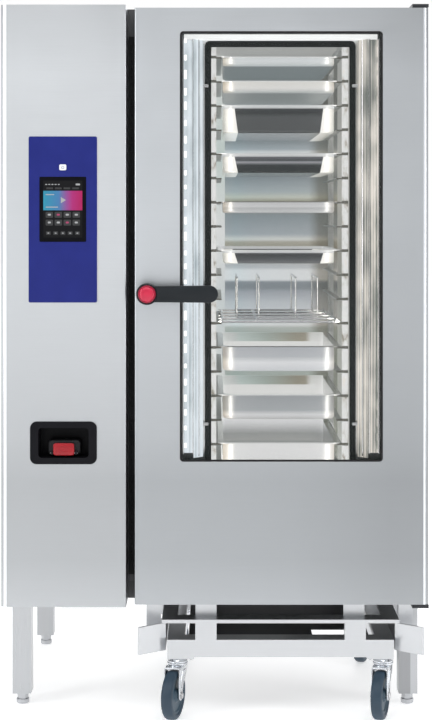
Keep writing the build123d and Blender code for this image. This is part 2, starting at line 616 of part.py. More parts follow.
def handle_lever():
    """Lever handle: a round hub that stands off the door, and a flat arm with a rounded end."""
    hub = rod_y(HANDLE_X, HANDLE_Z, -451, Y_FACE - 0.5, 27.5)
    hub = chamfer(hub.edges().sort_by(Axis.Y)[0], 3)
    arm_mid = HANDLE_X + (LEVER_LENGTH - LEVER_H / 2) / 2
    half_h = LEVER_H / 2
    arm = block(HANDLE_X, HANDLE_X + LEVER_LENGTH - half_h, -452, -430, HANDLE_Z - half_h, HANDLE_Z + half_h)
    arm += rod_y(HANDLE_X + LEVER_LENGTH - LEVER_H / 2, HANDLE_Z, -452, -430, LEVER_H / 2)
    lever = hub + arm
    lever -= rod_y(HANDLE_X, HANDLE_Z, -453, -445, 23)
    return [lever - rod_y(HANDLE_X, HANDLE_Z, -446, Y_FACE + 1, 7)]


def handle_cap():
    """Red domed cap in the hub."""
    cap = rod_y(HANDLE_X, HANDLE_Z, -461, -445, 22.6)
    return [fillet(cap.edges().sort_by(Axis.Y)[0], 6)]


def wedge(from_deg, to_deg, y0, y1):
    """Sector round the spindle, between two angles counted from +X towards +Z."""
    reach, mid = 130, (from_deg + to_deg) / 2
    corners = [(0, 0)]
    for angle in (from_deg, mid, to_deg):
        corners.append((reach * math.cos(math.radians(angle)), reach * math.sin(math.radians(angle))))
    return prism_y(Polygon(*corners, align=None), HANDLE_X, HANDLE_Z, y0, y1)


def handle_spindle():
    """Shaft through the door with the latch hook on its end."""
    shaft = rod_y(HANDLE_X, HANDLE_Z, -445, -299, 7)
    y0, y1 = -299, -293
    hook = rod_y(HANDLE_X, HANDLE_Z, y0, y1, KEEPER_R + 12) & wedge(20, 112, y0, y1)
    groove = rod_y(HANDLE_X, HANDLE_Z, y0 - 1, y1 + 1, KEEPER_R + 6.5)
    groove -= rod_y(HANDLE_X, HANDLE_Z, y0 - 1, y1 + 1, KEEPER_R - 6.5)
    hook -= groove & wedge(38, 103, y0 - 1, y1 + 1)
    hook += rod_y(HANDLE_X, HANDLE_Z, y0, y1, 14)
    return [shaft + hook]


# ---------------------------------------------------------------- trolley


def level_z(level):
    """Height of a level's ledge, counted from the top."""
    return TOP_LEVEL_Z - (level - 1) * PITCH


def frame_ring(half_w, y0, y1, z0, z1, side, front, back):
    """Rectangular frame lying flat, of four butt-welded bars."""
    x0, x1 = XC - half_w, XC + half_w
    return [
        block(x0, x1, y0, y0 + front, z0, z1),
        block(x0, x1, y1 - back, y1, z0, z1),
        block(x0, x0 + side, y0 + front, y1 - back, z0, z1),
        block(x1 - side, x1, y0 + front, y1 - back, z0, z1),
    ]


def trolley_base():
    """Lower chassis on short posts, its drip tray, and the four caster plates."""
    chassis = frame_ring(BASE_W / 2, BASE_Y0, BASE_Y1, BASE_Z0, BASE_Z1, 45, 55, 90)
    for side in (-1, 1):
        x = XC + side * RISER_X
        for y in (BASE_Y0, BASE_Y1 - 30):
            chassis.append(block(x - RISER_W / 2, x + RISER_W / 2, y, y + 30, BASE_Z1, GUIDE_FRAME_Z))
    tray = block(XC - 240, XC + 240, BASE_Y0 + 56, BASE_Y1 - 91, BASE_Z1 - 22, BASE_Z1 - 20)
    tray -= block(XC + 90, XC + 200, -240, -150, BASE_Z1 - 23, BASE_Z1 - 19)
    plates = []
    for x in (XC - CASTER_X, XC + CASTER_X):
        for y in (CASTER_Y_FRONT, CASTER_Y_REAR):
            half_y = 26 if y == CASTER_Y_FRONT else 40
            side = -1 if x < XC else 1
            x0, x1 = sorted((XC + side * BASE_W / 2, XC + side * (BASE_W / 2 - 70)))
            plates.append(block(x0, x1, y - half_y, y + half_y, BASE_Z0 - 5, BASE_Z0))
            plates.append(rod_z(x, y, BASE_Z0 - 22, BASE_Z0 - 5, 8))
    return [*chassis, tray, *plates]


def trolley_riser():
    """Flat guide frame under the cabinet, and the risers and sill that carry the rack through the mouth."""
    z0, z1 = GUIDE_FRAME_Z, GUIDE_FRAME_Z + GUIDE_FRAME_T
    guide = frame_ring(GUIDE_FRAME_W / 2, BASE_Y0, BASE_Y1, z0, z1, 40, 54, 40)
    sill_z0, sill_z1 = 350, 372
    pieces = [*guide, block(XC - 222, XC + 222, -299, -291, sill_z0, sill_z1)]
    for side in (-1, 1):
        x = XC + side * RISER_X
        pieces.append(block(x - RISER_W / 2, x + RISER_W / 2, -299, -291, z1, sill_z0))
    pieces.append(block(XC - 183, XC + 183, -291, RACK_Y0 + POST, sill_z0 + 2, sill_z0 + 18))
    return pieces


def trolley_rack():
    """Rack of four posts with top and bottom frames, and forty ledges."""
    half = RACK_INNER / 2
    z_bottom, z_top = 352, 1762
    pieces = []
    for side in (-1, 1):
        x0, x1 = sorted((XC + side * half, XC + side * (half + POST)))
        for y in (RACK_Y0, RACK_Y1 - POST):
            foot_z = z_bottom + 18 if y == RACK_Y0 else z_bottom
            pieces.append(block(x0, x1, y, y + POST, foot_z, z_top))
        for z in (z_bottom, z_top - POST):
            pieces.append(block(x0, x1, RACK_Y0 + POST, RACK_Y1 - POST, z, z + POST))
    for z in (z_bottom, z_top - POST):
        pieces.append(block(XC - half, XC + half, RACK_Y1 - POST, RACK_Y1, z, z + POST))
    for level in range(1, LEVELS + 1):
        z = level_z(level)
        for side in (-1, 1):
            x0, x1 = sorted((XC + side * (half - LEDGE), XC + side * half))
            pieces.append(block(x0, x1, RACK_Y0, RACK_Y1, z - LEDGE_T, z))
    return pieces


def trolley_guides():
    """Rails under the cabinet with flared mouths, each hung on three ribs."""
    pieces = []
    inner, wall, rail_z0, rail_z1 = 298, 5, 172, 243
    flare_out, flare_y0, flare_y1 = 66, -372, -322
    straight = ((inner, flare_y1), (inner, 300), (inner + wall, 300), (inner + wall, flare_y1 + 4))
    outer, flare_x = inner + wall, inner + flare_out
    flare = ((flare_x, flare_y0), (inner, flare_y1), (outer, flare_y1 + 4), (flare_x + wall, flare_y0 + 4))
    right = []
    for outline in (straight, flare):
        bar = extrude(make_face(Polyline(*outline, close=True)), amount=rail_z1 - rail_z0)
        right.append(Pos(0, 0, rail_z0) * bar)
    for y in (-280, 20, 290):
        right.append(block(inner + wall, inner + 52, y, y + 5, rail_z0 + 10, rail_z1))
        right.append(block(inner + 14, inner + 52, y, y + 5, rail_z1, Z_BODY))
    for piece in right:
        pieces.append(Pos(XC, 0, 0) * piece)
        pieces.append(Pos(XC, 0, 0) * mirror(piece, about=Plane.YZ))
    return pieces


def caster_fork(x, y):
    """Swivel fork with its head ring, two cheeks and the axle bolt."""
    head = rod_z(0, 0, BASE_Z0 - 23, BASE_Z0 - 6, 26) - rod_z(0, 0, BASE_Z0 - 24, BASE_Z0 - 5, 8 + RUNNING)
    crown = block(-22, 22, -TRAIL - 8, 22, BASE_Z0 - 28, BASE_Z0 - 23)
    fork = head + crown
    for side in (-1, 1):
        x0, x1 = sorted((side * 18, side * 22))
        outline = Polyline(
            (-TRAIL - 16, WHEEL_R - 12),
            (-TRAIL - 16, 95),
            (-TRAIL - 8, BASE_Z0 - 28),
            (20, BASE_Z0 - 28),
            (-TRAIL + 14, WHEEL_R - 12),
            close=True,
        )
        plane = Plane(origin=(x0, 0, 0), x_dir=(0, 1, 0), z_dir=(1, 0, 0))
        fork += extrude(plane * make_face(outline), amount=x1 - x0)
    fork -= rod_x(-TRAIL, WHEEL_R, -23, 23, AXLE_R)
    axle = rod_x(-TRAIL, WHEEL_R, -22, 22, AXLE_R)
    place = Pos(x, y, 0) * Rot(0, 0, CASTER_YAW)
    nuts = [rod_x(-TRAIL, WHEEL_R, s, s + 5, 8) for s in (-27, 22)]
    return [place * piece for piece in (fork, axle, *nuts)]


def caster_wheel(x, y):
    """Grey tyre on its hub, with a bore for the axle."""
    place = Pos(x, y, 0) * Rot(0, 0, CASTER_YAW) * Pos(0, -TRAIL, WHEEL_R) * Rot(0, 90, 0)
    tyre = fillet(Cylinder(WHEEL_R, WHEEL_W).edges(), 9) - Cylinder(46, WHEEL_W + 2)
    hub = Cylinder(46, WHEEL_W - 8) + Cylinder(14, WHEEL_W + 2)
    hub -= Cylinder(AXLE_R + RUNNING, WHEEL_W + 4)
    return [place * tyre, place * hub]


# ---------------------------------------------------------------- containers


def container(level, depth):
    """Gastronorm container: flat flange and a body with rounded corners."""
    z, wall = level_z(level), 1.6
    flange = rounded_z(PAN_W, PAN_L, 20, XC, PAN_Y, z, z + wall)
    body = rounded_z(PAN_BODY_W, PAN_BODY_L, 34, XC, PAN_Y, z - depth, z)
    inner_w, inner_l = PAN_BODY_W - 2 * wall, PAN_BODY_L - 2 * wall
    hollow = rounded_z(inner_w, inner_l, 32.4, XC, PAN_Y, z - depth + wall, z + wall + 1)
    body = fillet(body.edges().group_by(Axis.Z)[0], 7)
    hollow = fillet(hollow.edges().group_by(Axis.Z)[0], 5.4)
    return flange + body - hollow


def steel_pans():
    return [container(level, depth) for level, depth in STEEL_PAN_DEPTHS.items()]


def dark_trays():
    return [container(level, depth) for level, depth in DARK_TRAY_DEPTHS.items()]


def wire_rack():
    """Wire grid on its level: long wires over cross wires, with four upright hoops for ribs and poultry."""
    z, rim, rung, post, bow = level_z(WIRE_RACK_LEVEL) + 3, 3, 2.4, 2, 2.6
    y0, y1, half = PAN_Y - PAN_L / 2 + 3, PAN_Y + PAN_L / 2 - 3, PAN_W / 2 - 3
    post_ys = (PAN_Y - 130, PAN_Y + 130)
    wires = [rod_x(y, z, XC - half, XC + half, rim) for y in (y0, PAN_Y, y1, *post_ys)]
    for x in (XC - half + 8, XC - 60, XC + 60, XC + half - 8):
        wires.append(rod_y(x, z + rim + rung, y0 - 3, y1 + 3, rung))
    for dx in (-110, -50, 50, 110):
        top = z + HOOP_H
        wires += [rod_z(XC + dx, y, z + rim, top - bow, post) for y in post_ys]
        wires.append(rod_y(XC + dx, top, PAN_Y - 136, PAN_Y + 136, bow))
    return wires


def parts():
    """Every node's solids, by name."""
    made = {
        "base_frame": base_frame(),
        "leg_tubes": leg_tubes(),
        "left_side_panel": side_panel(-1),
        "right_side_panel": side_panel(1),
        "rear_panel": rear_panel(),
        "top_panel": top_panel(),
        "bottom_plate": bottom_plate(),
        "front_cover": front_cover(),
        "front_frame": front_frame(),
        "gap_trim": gap_trim(),
        "cavity_liner": cavity_liner(),
        "insulation": insulation(),
        "fan_baffle": fan_baffle(),
        "door_seal": door_seal(),
        "fan_motors": fan_motors(),
        "heating_coils": heating_coils(),
        "steam_injector": steam_injector(),
        "drain_box": drain_box(),
        "vent_pipe": vent_pipe(),
        "service_fittings": service_fittings(),
        "control_panel": control_panel(),
        "touch_display": touch_display(),
        "power_key": power_key(),
        "electrical_tray": electrical_tray(),
        "shower_dock": shower_dock(),
        "hand_shower": hand_shower(),
        "shower_trigger": shower_trigger(),
        "hose_reel_bracket": hose_reel_bracket(),
        "hose_reel_drum": hose_reel_drum(),
        "hinge_brackets": hinge_brackets(),
        "hinge_blocks": hinge_blocks(),
        "door_outer_panel": door_outer_panel(),
        "door_inner_panel": door_inner_panel(),
        "door_glass": door_glass(),
        "glass_seals": glass_seals(),
        "light_bars": light_bars(),
        "handle_lever": handle_lever(),
        "handle_cap": handle_cap(),
        "handle_spindle": handle_spindle(),
        "trolley_base": trolley_base(),
        "trolley_riser": trolley_riser(),
        "trolley_rack": trolley_rack(),
        "trolley_guides": trolley_guides(),
        "steel_pans": steel_pans(),
        "dark_trays": dark_trays(),
        "wire_rack": wire_rack(),
    }
    for name, z in FAN_ZS.items():
        made[f"fan_wheel_{name}"] = fan_wheel(z)
    ends = {"front": (LEG_Y_FRONT, CASTER_Y_FRONT), "rear": (LEG_Y_REAR, CASTER_Y_REAR)}
    for end, (leg_y, caster_y) in ends.items():
        for side, sign in (("left", -1), ("right", 1)):
            made[f"foot_{end}_{side}"] = foot(sign * LEG_X, leg_y)
            made[f"caster_fork_{end}_{side}"] = caster_fork(XC + sign * CASTER_X, caster_y)
            made[f"caster_wheel_{end}_{side}"] = caster_wheel(XC + sign * CASTER_X, caster_y)
    return made


def main():
    os.makedirs("parts", exist_ok=True)
    for name, pieces in parts().items():
        solids = [solid for piece in pieces for solid in piece.solids()]
        shape = solids[0] if len(solids) == 1 else Compound(children=solids)
        export_step(shape, f"parts/{name}.step")


main()
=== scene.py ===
"""Looks of a floor-standing combi steamer oven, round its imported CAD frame. Metres, +Z up, front -Y."""
import math
import random

import bmesh
import bpy
from mathutils import Matrix, Vector, noise


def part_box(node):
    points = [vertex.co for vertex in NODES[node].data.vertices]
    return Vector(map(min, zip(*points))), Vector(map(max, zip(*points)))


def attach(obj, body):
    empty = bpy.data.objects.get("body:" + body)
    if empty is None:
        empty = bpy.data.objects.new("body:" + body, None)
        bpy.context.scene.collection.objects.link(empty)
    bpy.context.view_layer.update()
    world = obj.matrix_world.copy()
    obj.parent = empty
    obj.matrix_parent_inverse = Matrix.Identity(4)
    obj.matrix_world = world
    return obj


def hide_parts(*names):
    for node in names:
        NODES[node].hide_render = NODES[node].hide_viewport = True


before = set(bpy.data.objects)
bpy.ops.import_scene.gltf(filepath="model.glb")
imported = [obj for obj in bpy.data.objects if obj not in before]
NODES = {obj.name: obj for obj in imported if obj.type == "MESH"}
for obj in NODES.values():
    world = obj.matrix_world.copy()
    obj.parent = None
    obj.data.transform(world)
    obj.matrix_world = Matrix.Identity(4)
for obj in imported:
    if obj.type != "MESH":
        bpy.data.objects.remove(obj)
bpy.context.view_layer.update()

MM = 0.001

# driving places, in millimetres
XC = 170.0  # middle of the door, its window, the chamber and the trolley
FACE = -389.0  # outer face of the door and the column
REAR = 455.0  # outer face of the rear sheet
TOP_LEVEL, LEVEL_PITCH = 1722, 64  # highest rack level and the step between levels
PAN_FRONT, PAN_BACK = -247, 286  # a container's flange, front and rear, with a little to spare

# -------- camera and light

EYE_DISTANCE, EYE_HEIGHT = 4.2, 1.304


def make_camera():
    camera = bpy.data.objects.new("camera", bpy.data.cameras.new("camera"))
    bpy.context.collection.objects.link(camera)
    camera.location = Vector((0.0, FACE * MM - EYE_DISTANCE, EYE_HEIGHT))
    camera.rotation_euler = (math.radians(90), 0, 0)
    camera.data.lens = 82
    camera.data.sensor_width = 36
    camera.data.shift_x = 0.0014
    camera.data.shift_y = -0.2014
    camera.data.clip_end = 60
    bpy.context.scene.camera = camera
    bpy.context.scene.view_settings.view_transform = "Standard"


def area_light(name, place, aim, width, height, watts, colour=(1, 1, 1)):
    data = bpy.data.lights.new(name, "AREA")
    data.shape = "RECTANGLE"
    data.size, data.size_y = width, height
    data.energy = watts
    data.color = colour
    light = bpy.data.objects.new(name, data)
    bpy.context.collection.objects.link(light)
    light.location = place
    light.rotation_euler = (Vector(aim) - Vector(place)).to_track_quat("-Z", "Y").to_euler()
    light.visible_camera = False


def make_world():
    """Soft studio, brighter at the left, in front of a white backdrop."""
    world = bpy.data.worlds.new("studio")
    bpy.context.scene.world = world
    world.use_nodes = True
    tree = world.node_tree
    tree.nodes.clear()
    new, link = tree.nodes.new, tree.links.new
    out = new("ShaderNodeOutputWorld")
    sky = new("ShaderNodeBackground")
    coords = new("ShaderNodeTexCoord")
    split = new("ShaderNodeSeparateXYZ")
    height = new("ShaderNodeMapRange")
    ramp = new("ShaderNodeValToRGB")
    link(coords.outputs["Generated"], split.inputs[0])
    link(split.outputs["Z"], height.inputs["Value"])
    link(height.outputs[0], ramp.inputs[0])
    stops = ramp.color_ramp
    stops.elements[0].position, stops.elements[0].color = 0.0, (0.95, 0.95, 0.95, 1)
    stops.elements[1].position, stops.elements[1].color = 1.0, (0.80, 0.82, 0.84, 1)
    for position, value in ((0.44, 0.92), (0.50, 0.86), (0.56, 0.72), (0.75, 0.78)):
        element = stops.elements.new(position)
        element.color = (value, value * 1.01, value * 1.02, 1)
    across = new("ShaderNodeMapRange")
    link(split.outputs["X"], across.inputs["Value"])
    for node, ends in ((height, (-1, 1, 0, 1)), (across, (-0.6, 0.6, 0.84, 0.62))):
        for key, value in zip(("From Min", "From Max", "To Min", "To Max"), ends):
            node.inputs[key].default_value = value
    link(ramp.outputs[0], sky.inputs["Color"])
    link(across.outputs[0], sky.inputs["Strength"])
    backdrop = new("ShaderNodeBackground")
    backdrop.inputs["Color"].default_value = (1, 1, 1, 1)
    path = new("ShaderNodeLightPath")
    mix = new("ShaderNodeMixShader")
    link(path.outputs["Is Camera Ray"], mix.inputs[0])
    link(sky.outputs[0], mix.inputs[1])
    link(backdrop.outputs[0], mix.inputs[2])
    link(mix.outputs[0], out.inputs[0])


make_camera()
make_world()
area_light("soft_left", (-3.6, -2.6, 2.4), (0, 0, 0.9), 1.2, 3.2, 45)
area_light("soft_right", (3.8, -1.8, 1.9), (0, 0, 0.9), 0.9, 3.4, 34)
area_light("soft_top", (0.0, -3.2, 4.0), (0, 0, 1.2), 3.0, 1.8, 50)
area_light("soft_back", (0.5, 3.8, 2.6), (0, 0, 0.9), 3.0, 2.4, 40)
middle = XC * MM
for name, side in (("l", -1), ("r", 1)):
    place = (middle + side * 0.168, -0.262, 1.16)
    area_light(f"chamber_light_{name}", place, (middle, 0.35, 1.16), 0.03, 1.15, 1.5, (1.0, 0.97, 0.91))
area_light("chamber_floor_light", (middle, -0.2, 0.46), (middle, 0.2, 0.9), 0.3, 0.08, 3, (1.0, 0.97, 0.92))
area_light("chamber_top_light", (middle, -0.1, 1.74), (middle, 0.05, 0.9), 0.3, 0.25, 1.2, (1.0, 0.98, 0.94))

# -------- materials


def light_of(*values):
    """Linear light for display values of 0 to 255."""
    return tuple((value / 255) ** 2.2 for value in values)


class Shader:
    """A Principled material with short ways to add procedural detail in object space."""

    def __init__(self, name, colour, metallic=0.0, roughness=0.5, **settings):
        self.material = bpy.data.materials.new(name)
        self.material.use_nodes = True
        self.open()
        self.bsdf.inputs["Base Color"].default_value = (*colour[:3], 1)
        self.bsdf.inputs["Metallic"].default_value = metallic
        self.bsdf.inputs["Roughness"].default_value = roughness
        for key, value in settings.items():
            self.bsdf.inputs[key.replace("_", " ")].default_value = value

    @classmethod
    def of(cls, material):
        """A shader for a material that is made already."""
        shader = cls.__new__(cls)
        shader.material = material
        shader.open()
        return shader

    def open(self):
        self.tree = self.material.node_tree
        self.bsdf = self.tree.nodes["Principled BSDF"]
        self.coords = None
        self.normal = None

    def new(self, kind, **settings):
        node = self.tree.nodes.new(kind)
        for key, value in settings.items():
            setattr(node, key, value)
        return node

    def link(self, a, b):
        self.tree.links.new(a, b)

    def fill(self, socket, value):
        """Links a socket, or gives it a number or a colour."""
        if isinstance(value, bpy.types.NodeSocket):
            self.link(value, socket)
        elif socket.type == "RGBA":
            socket.default_value = (*value[:3], 1)
        else:
            socket.default_value = value

    def place(self, scale=(1, 1, 1)):
        if self.coords is None:
            self.coords = self.new("ShaderNodeTexCoord")
        mapping = self.new("ShaderNodeMapping")
        mapping.inputs["Scale"].default_value = scale
        self.link(self.coords.outputs["Object"], mapping.inputs["Vector"])
        return mapping.outputs[0]

    def axes(self):
        """X, Y and Z of the place, in metres."""
        split = self.new("ShaderNodeSeparateXYZ")
        self.link(self.place(), split.inputs[0])
        return split.outputs

    def noise(self, scale, detail=3.0, roughness=0.5):
        node = self.new("ShaderNodeTexNoise")
        node.inputs["Scale"].default_value = 1.0
        node.inputs["Detail"].default_value = detail
        node.inputs["Roughness"].default_value = roughness
        self.link(self.place(scale), node.inputs["Vector"])
        return node.outputs["Fac"]

    def ramp(self, fac, stops):
        node = self.new("ShaderNodeValToRGB")
        elements = node.color_ramp.elements
        while len(elements) < len(stops):
            elements.new(0.5)
        for element, (position, colour) in zip(elements, stops):
            element.position = position
            element.color = (*colour[:3], 1)
        self.link(fac, node.inputs[0])
        return node.outputs["Color"]

    def span(self, fac, low, high, from_low=0.0, from_high=1.0):
        node = self.new("ShaderNodeMapRange")
        ends = {"From Min": from_low, "From Max": from_high, "To Min": low, "To Max": high}
        for key, value in ends.items():
            node.inputs[key].default_value = value
        self.link(fac, node.inputs["Value"])
        return node.outputs[0]

    def tones_along(self, length, stops):
        """Display tones at places in millimetres along a length in metres."""
        start, stop = stops[0][0], stops[-1][0]
        share = self.span(length, 0, 1, start * MM, stop * MM)
        return self.ramp(share, [((at - start) / (stop - start), light_of(*tint)) for at, tint in stops])

    def chain(self, value, *steps):
        """Runs a value through math nodes, each given by its operation and its other values."""
        for operation, *others in steps:
            node = self.new("ShaderNodeMath", operation=operation)
            for socket, given in zip(node.inputs, (value, *others)):
                self.fill(socket, given)
            value = node.outputs[0]
        return value

    def mix(self, a, b, factor=1.0, blend="MIX", kind="RGBA"):
        node = self.new("ShaderNodeMix", data_type=kind, blend_type=blend)
        first, second = [[i for i in node.inputs if i.name == name and i.enabled][0] for name in "AB"]
        self.fill(first, a)
        self.fill(second, b)
        self.fill(node.inputs[0], factor)
        return [o for o in node.outputs if o.enabled][0]

    def inside(self, low, high):
        """1 inside a box given in millimetres, 0 outside."""
        mask = None
        for length, a, b in zip(self.axes(), low, high):
            test = self.chain(length, ("COMPARE", (a + b) / 2 * MM, (b - a) / 2 * MM))
            mask = test if mask is None else self.chain(mask, ("MULTIPLY", test))
        return mask

    def cover(self, mask, socket, value):
        """Puts a value over what a socket has, where the mask is 1."""
        target = self.bsdf.inputs[socket]
        under = target.links[0].from_socket if target.links else target.default_value
        self.link(self.mix(under, value, mask, kind="RGBA" if target.type == "RGBA" else "FLOAT"), target)

    def allow_glow(self):
        """Readies a dark material for light of its own in places."""
        if self.bsdf.inputs["Emission Strength"].default_value == 0:
            self.bsdf.inputs["Emission Color"].default_value = (0, 0, 0, 1)
            self.bsdf.inputs["Emission Strength"].default_value = 1

    def vary_colour(self, fac, dark, light, low=0.3, high=0.7):
        self.link(self.ramp(fac, ((low, dark), (high, light))), self.bsdf.inputs["Base Color"])

    def vary_roughness(self, fac, low, high):
        self.link(self.span(fac, low, high, 0.3, 0.7), self.bsdf.inputs["Roughness"])

    def bump(self, fac, strength, distance):
        node = self.new("ShaderNodeBump")
        node.inputs["Strength"].default_value = strength
        node.inputs["Distance"].default_value = distance
        self.link(fac, node.inputs["Height"])
        if self.normal is not None:
            self.link(self.normal, node.inputs["Normal"])
        self.normal = node.outputs[0]
        self.link(self.normal, self.bsdf.inputs["Normal"])


def tone(colour, factor):
    return tuple(min(1.0, channel * factor) for channel in colour)


def steel(name, colour, roughness, along="x", streak=0.04, cloud=0.05, grain=0.12, shading=None):
    """Brushed sheet: streaks drawn out along one axis, faint clouds from handling."""
    fine = {"x": (6, 900, 900), "z": (900, 900, 6), "y": (900, 6, 900)}[along]
    shader = Shader(name, colour, 1.0, roughness)
    lines = shader.noise(fine, 2.0, 0.6)
    clouds = shader.span(shader.noise((2.2, 2.2, 1.6), 3.0, 0.55), 0.0, 0.55)
    mixed = shader.chain(lines, ("MULTIPLY_ADD", 0.45, clouds))
    shader.vary_colour(mixed, tone(colour, 1 - cloud), tone(colour, 1 + streak), 0.25, 0.75)
    shader.vary_roughness(mixed, roughness * 0.86, roughness * 1.18)
    base = shader.bsdf.inputs["Base Color"]
    # painted light and shade: each shading table scales the sheet's colour by place along one axis
    for axis, tones in (shading or {}).items():
        low, high = tones[0][0], tones[-1][0]
        stops = [((at - low) / (high - low), (value,) * 3) for at, value in tones]
        tint = shader.ramp(shader.span(shader.axes()[axis], 0, 1, low, high), stops)
        shader.link(shader.mix(base.links[0].from_socket, tint, blend="MULTIPLY"), base)
    shader.bump(lines, grain, 0.00015)
    return shader.material


def moulded(name, colour, roughness, grain=900, strength=0.12, spread=0.16, **settings):
    """Moulded plastic, rubber or paint: fine grain, and a slight change of tone and gloss."""
    shader = Shader(name, colour, 0.0, roughness, **settings)
    speck = shader.noise((grain, grain, grain), 2.0, 0.6)
    broad = shader.noise((18, 18, 18), 3.0, 0.5)
    shader.vary_colour(broad, tone(colour, 1 - spread), tone(colour, 1 + spread))
    shader.vary_roughness(broad, roughness * 0.85, roughness * 1.2)
    shader.bump(speck, strength, 0.0001)
    return shader.material


def glow(name, colour, strength, base=(0.8, 0.8, 0.8)):
    """Cover with light of its own."""
    shader = Shader(name, base, 0.0, 0.4)
    shader.bsdf.inputs["Emission Color"].default_value = (*colour, 1)
    shader.bsdf.inputs["Emission Strength"].default_value = strength
    shader.vary_colour(shader.noise((400, 400, 400), 1.0), tone(base, 0.93), tone(base, 1.05))
    return shader.material


def pane(name, colour, alpha):
    """Clear glass with a faint film."""
    shader = Shader(name, colour, 0.0, 0.03)
    shader.bsdf.inputs["Alpha"].default_value = alpha
    shader.bsdf.inputs["IOR"].default_value = 1.5
    film = shader.noise((1.5, 1.5, 1.1), 3.0)
    shader.vary_roughness(film, 0.02, 0.05)
    shader.vary_colour(film, tone(colour, 0.92), tone(colour, 1.06))
    return shader.material


def gradient(name, axis, low, high, stops, strength):
    """Lit picture whose colour runs along one axis between two places."""
    shader = Shader(name, (0, 0, 0), 0.0, 0.25, Specular_IOR_Level=0.12)
    colour = shader.ramp(shader.span(shader.axes()[axis], 0, 1, low, high), stops)
    shader.link(colour, shader.bsdf.inputs["Emission Color"])
    shader.link(colour, shader.bsdf.inputs["Base Color"])
    shader.bsdf.inputs["Emission Strength"].default_value = strength
    return shader.material


def lit_strip(name, low, high, strength, dark=0.36):
    """Painted reflection on a profile beside the window: upright streaks and soft patches, as of lamps in
    polished steel.
    """
    shader = Shader(name, (0.6, 0.6, 0.6), 0.0, 0.2)
    streaks = shader.noise((170, 170, 0.9), 2.0, 0.6)
    patches = shader.span(shader.noise((20, 20, 9), 2.0, 0.5), 0.0, 0.42)
    mixed = shader.chain(streaks, ("MULTIPLY_ADD", 0.62, patches))
    middle = tuple((a + b) / 2 for a, b in zip(low, high))
    colour = shader.ramp(mixed, ((dark, low), (dark + 0.1, middle), (dark + 0.2, high), (1.0, high)))
    shader.link(colour, shader.bsdf.inputs["Emission Color"])
    shader.vary_colour(mixed, (0.12, 0.12, 0.12), (0.25, 0.25, 0.25))
    shader.bsdf.inputs["Emission Strength"].default_value = strength
    return shader.material


# painted shade of the big sheets by place in metres: a darker band low down, the right darker than the left
SHEET_PAINTED_SHADE = {
    "Z": (
        (0.30, 0.60), (0.42, 0.53), (0.62, 0.54), (0.74, 0.64),
        (0.95, 0.76), (1.3, 0.90), (1.66, 0.93), (1.84, 0.76),
    ),
    "X": ((-0.56, 1.04), (-0.1, 1.0), (0.2, 0.95), (0.45, 0.83), (0.56, 0.84)),
}

DULL = {"Specular_IOR_Level": 0.25}
CASING = steel("casing_steel", (0.76, 0.79, 0.82), 0.34, "x", shading=SHEET_PAINTED_SHADE)
# the column's steel is a lighter copy of the casing steel: painted light
COLUMN = steel("column_steel", (0.82, 0.845, 0.87), 0.34, "x", shading=SHEET_PAINTED_SHADE)
CHAMBER = steel("chamber_steel", (0.78, 0.79, 0.79), 0.22, "z", 0.05, 0.08)
RACK = steel("rack_steel", (0.62, 0.63, 0.63), 0.42, "z", 0.2, 0.35)
TROLLEY = steel("trolley_steel", (0.58, 0.59, 0.605), 0.3, "x", 0.05, 0.06)
# the bottom plate is near black: painted shade under the cabinet
UNDERSIDE_SHADE = moulded("underside_coat", (0.058, 0.060, 0.064), 0.7, 500, 0.3)
LEG = steel("leg_steel", (0.49, 0.50, 0.515), 0.3, "z", 0.05, 0.06)
PAN = steel("pan_steel", (0.80, 0.80, 0.80), 0.24, "y", 0.04, 0.1)
FORK = steel("caster_zinc", (0.72, 0.74, 0.77), 0.2, "z", 0.06, 0.12)
SPINDLE = steel("spindle_steel", (0.62, 0.62, 0.63), 0.28, "y")
HEATER = steel("heater_tube", (0.30, 0.27, 0.25), 0.42, "y", 0.1, 0.3)
CHROME = steel("wire_chrome", (0.82, 0.82, 0.83), 0.1, "y", 0.03, 0.05, 0.04)
BRASS = steel("fitting_brass", (0.70, 0.52, 0.22), 0.28, "y", 0.06, 0.12)
MOTOR = moulded("motor_aluminium", (0.48, 0.49, 0.50), 0.45, 500, 0.3, Metallic=0.9)
BLUE = moulded("panel_blue", (0.008, 0.015, 0.165), 0.32, 700, 0.03, 0.06, Specular_IOR_Level=0.3)
BEZEL = moulded("screen_black", (0.004, 0.004, 0.006), 0.09, 900, 0.0, 0.2, Specular_IOR_Level=0.1)
WHITE = moulded("key_white", (0.80, 0.82, 0.85), 0.35, 900, 0.04, 0.04)
INK = moulded("key_ink", (0.03, 0.04, 0.12), 0.4, 900, 0.04, 0.1)
DOCK = moulded("dock_black", (0.007, 0.007, 0.009), 0.33, 900, 0.12, Specular_IOR_Level=0.1)
SPRAY = moulded("shower_black", (0.018, 0.018, 0.02), 0.42, 900, 0.2, **DULL)
RED = moulded("trigger_red", (0.34, 0.003, 0.010), 0.3, 900, 0.06, 0.12)
CAP_RED = moulded("cap_red", (0.57, 0.018, 0.06), 0.26, 900, 0.04, 0.12)
CAP_RIM = moulded("cap_rim", (0.36, 0.012, 0.04), 0.3, 900, 0.04, 0.1)
HANDLE = moulded("handle_dark", (0.012, 0.015, 0.018), 0.36, 1200, 0.12, 0.14, **DULL)
HINGE = moulded("hinge_dark", (0.03, 0.032, 0.036), 0.4, 900, 0.1, **DULL)
TRIM = moulded("gap_black", (0.008, 0.008, 0.009), 0.5, 700, 0.2, **DULL)
SEAL = moulded("seal_black", (0.010, 0.010, 0.011), 0.55, 1400, 0.25, **DULL)
WOOL = moulded("mineral_wool", (0.55, 0.49, 0.30), 0.95, 240, 0.9, 0.25)
BOARD = moulded("board_green", (0.02, 0.14, 0.06), 0.4, 160, 0.35, 0.3)
REEL = moulded("reel_grey", (0.16, 0.17, 0.18), 0.45, 700, 0.15)
TYRE = moulded("wheel_grey", (0.021, 0.046, 0.074), 0.5, 1500, 0.2, 0.14)
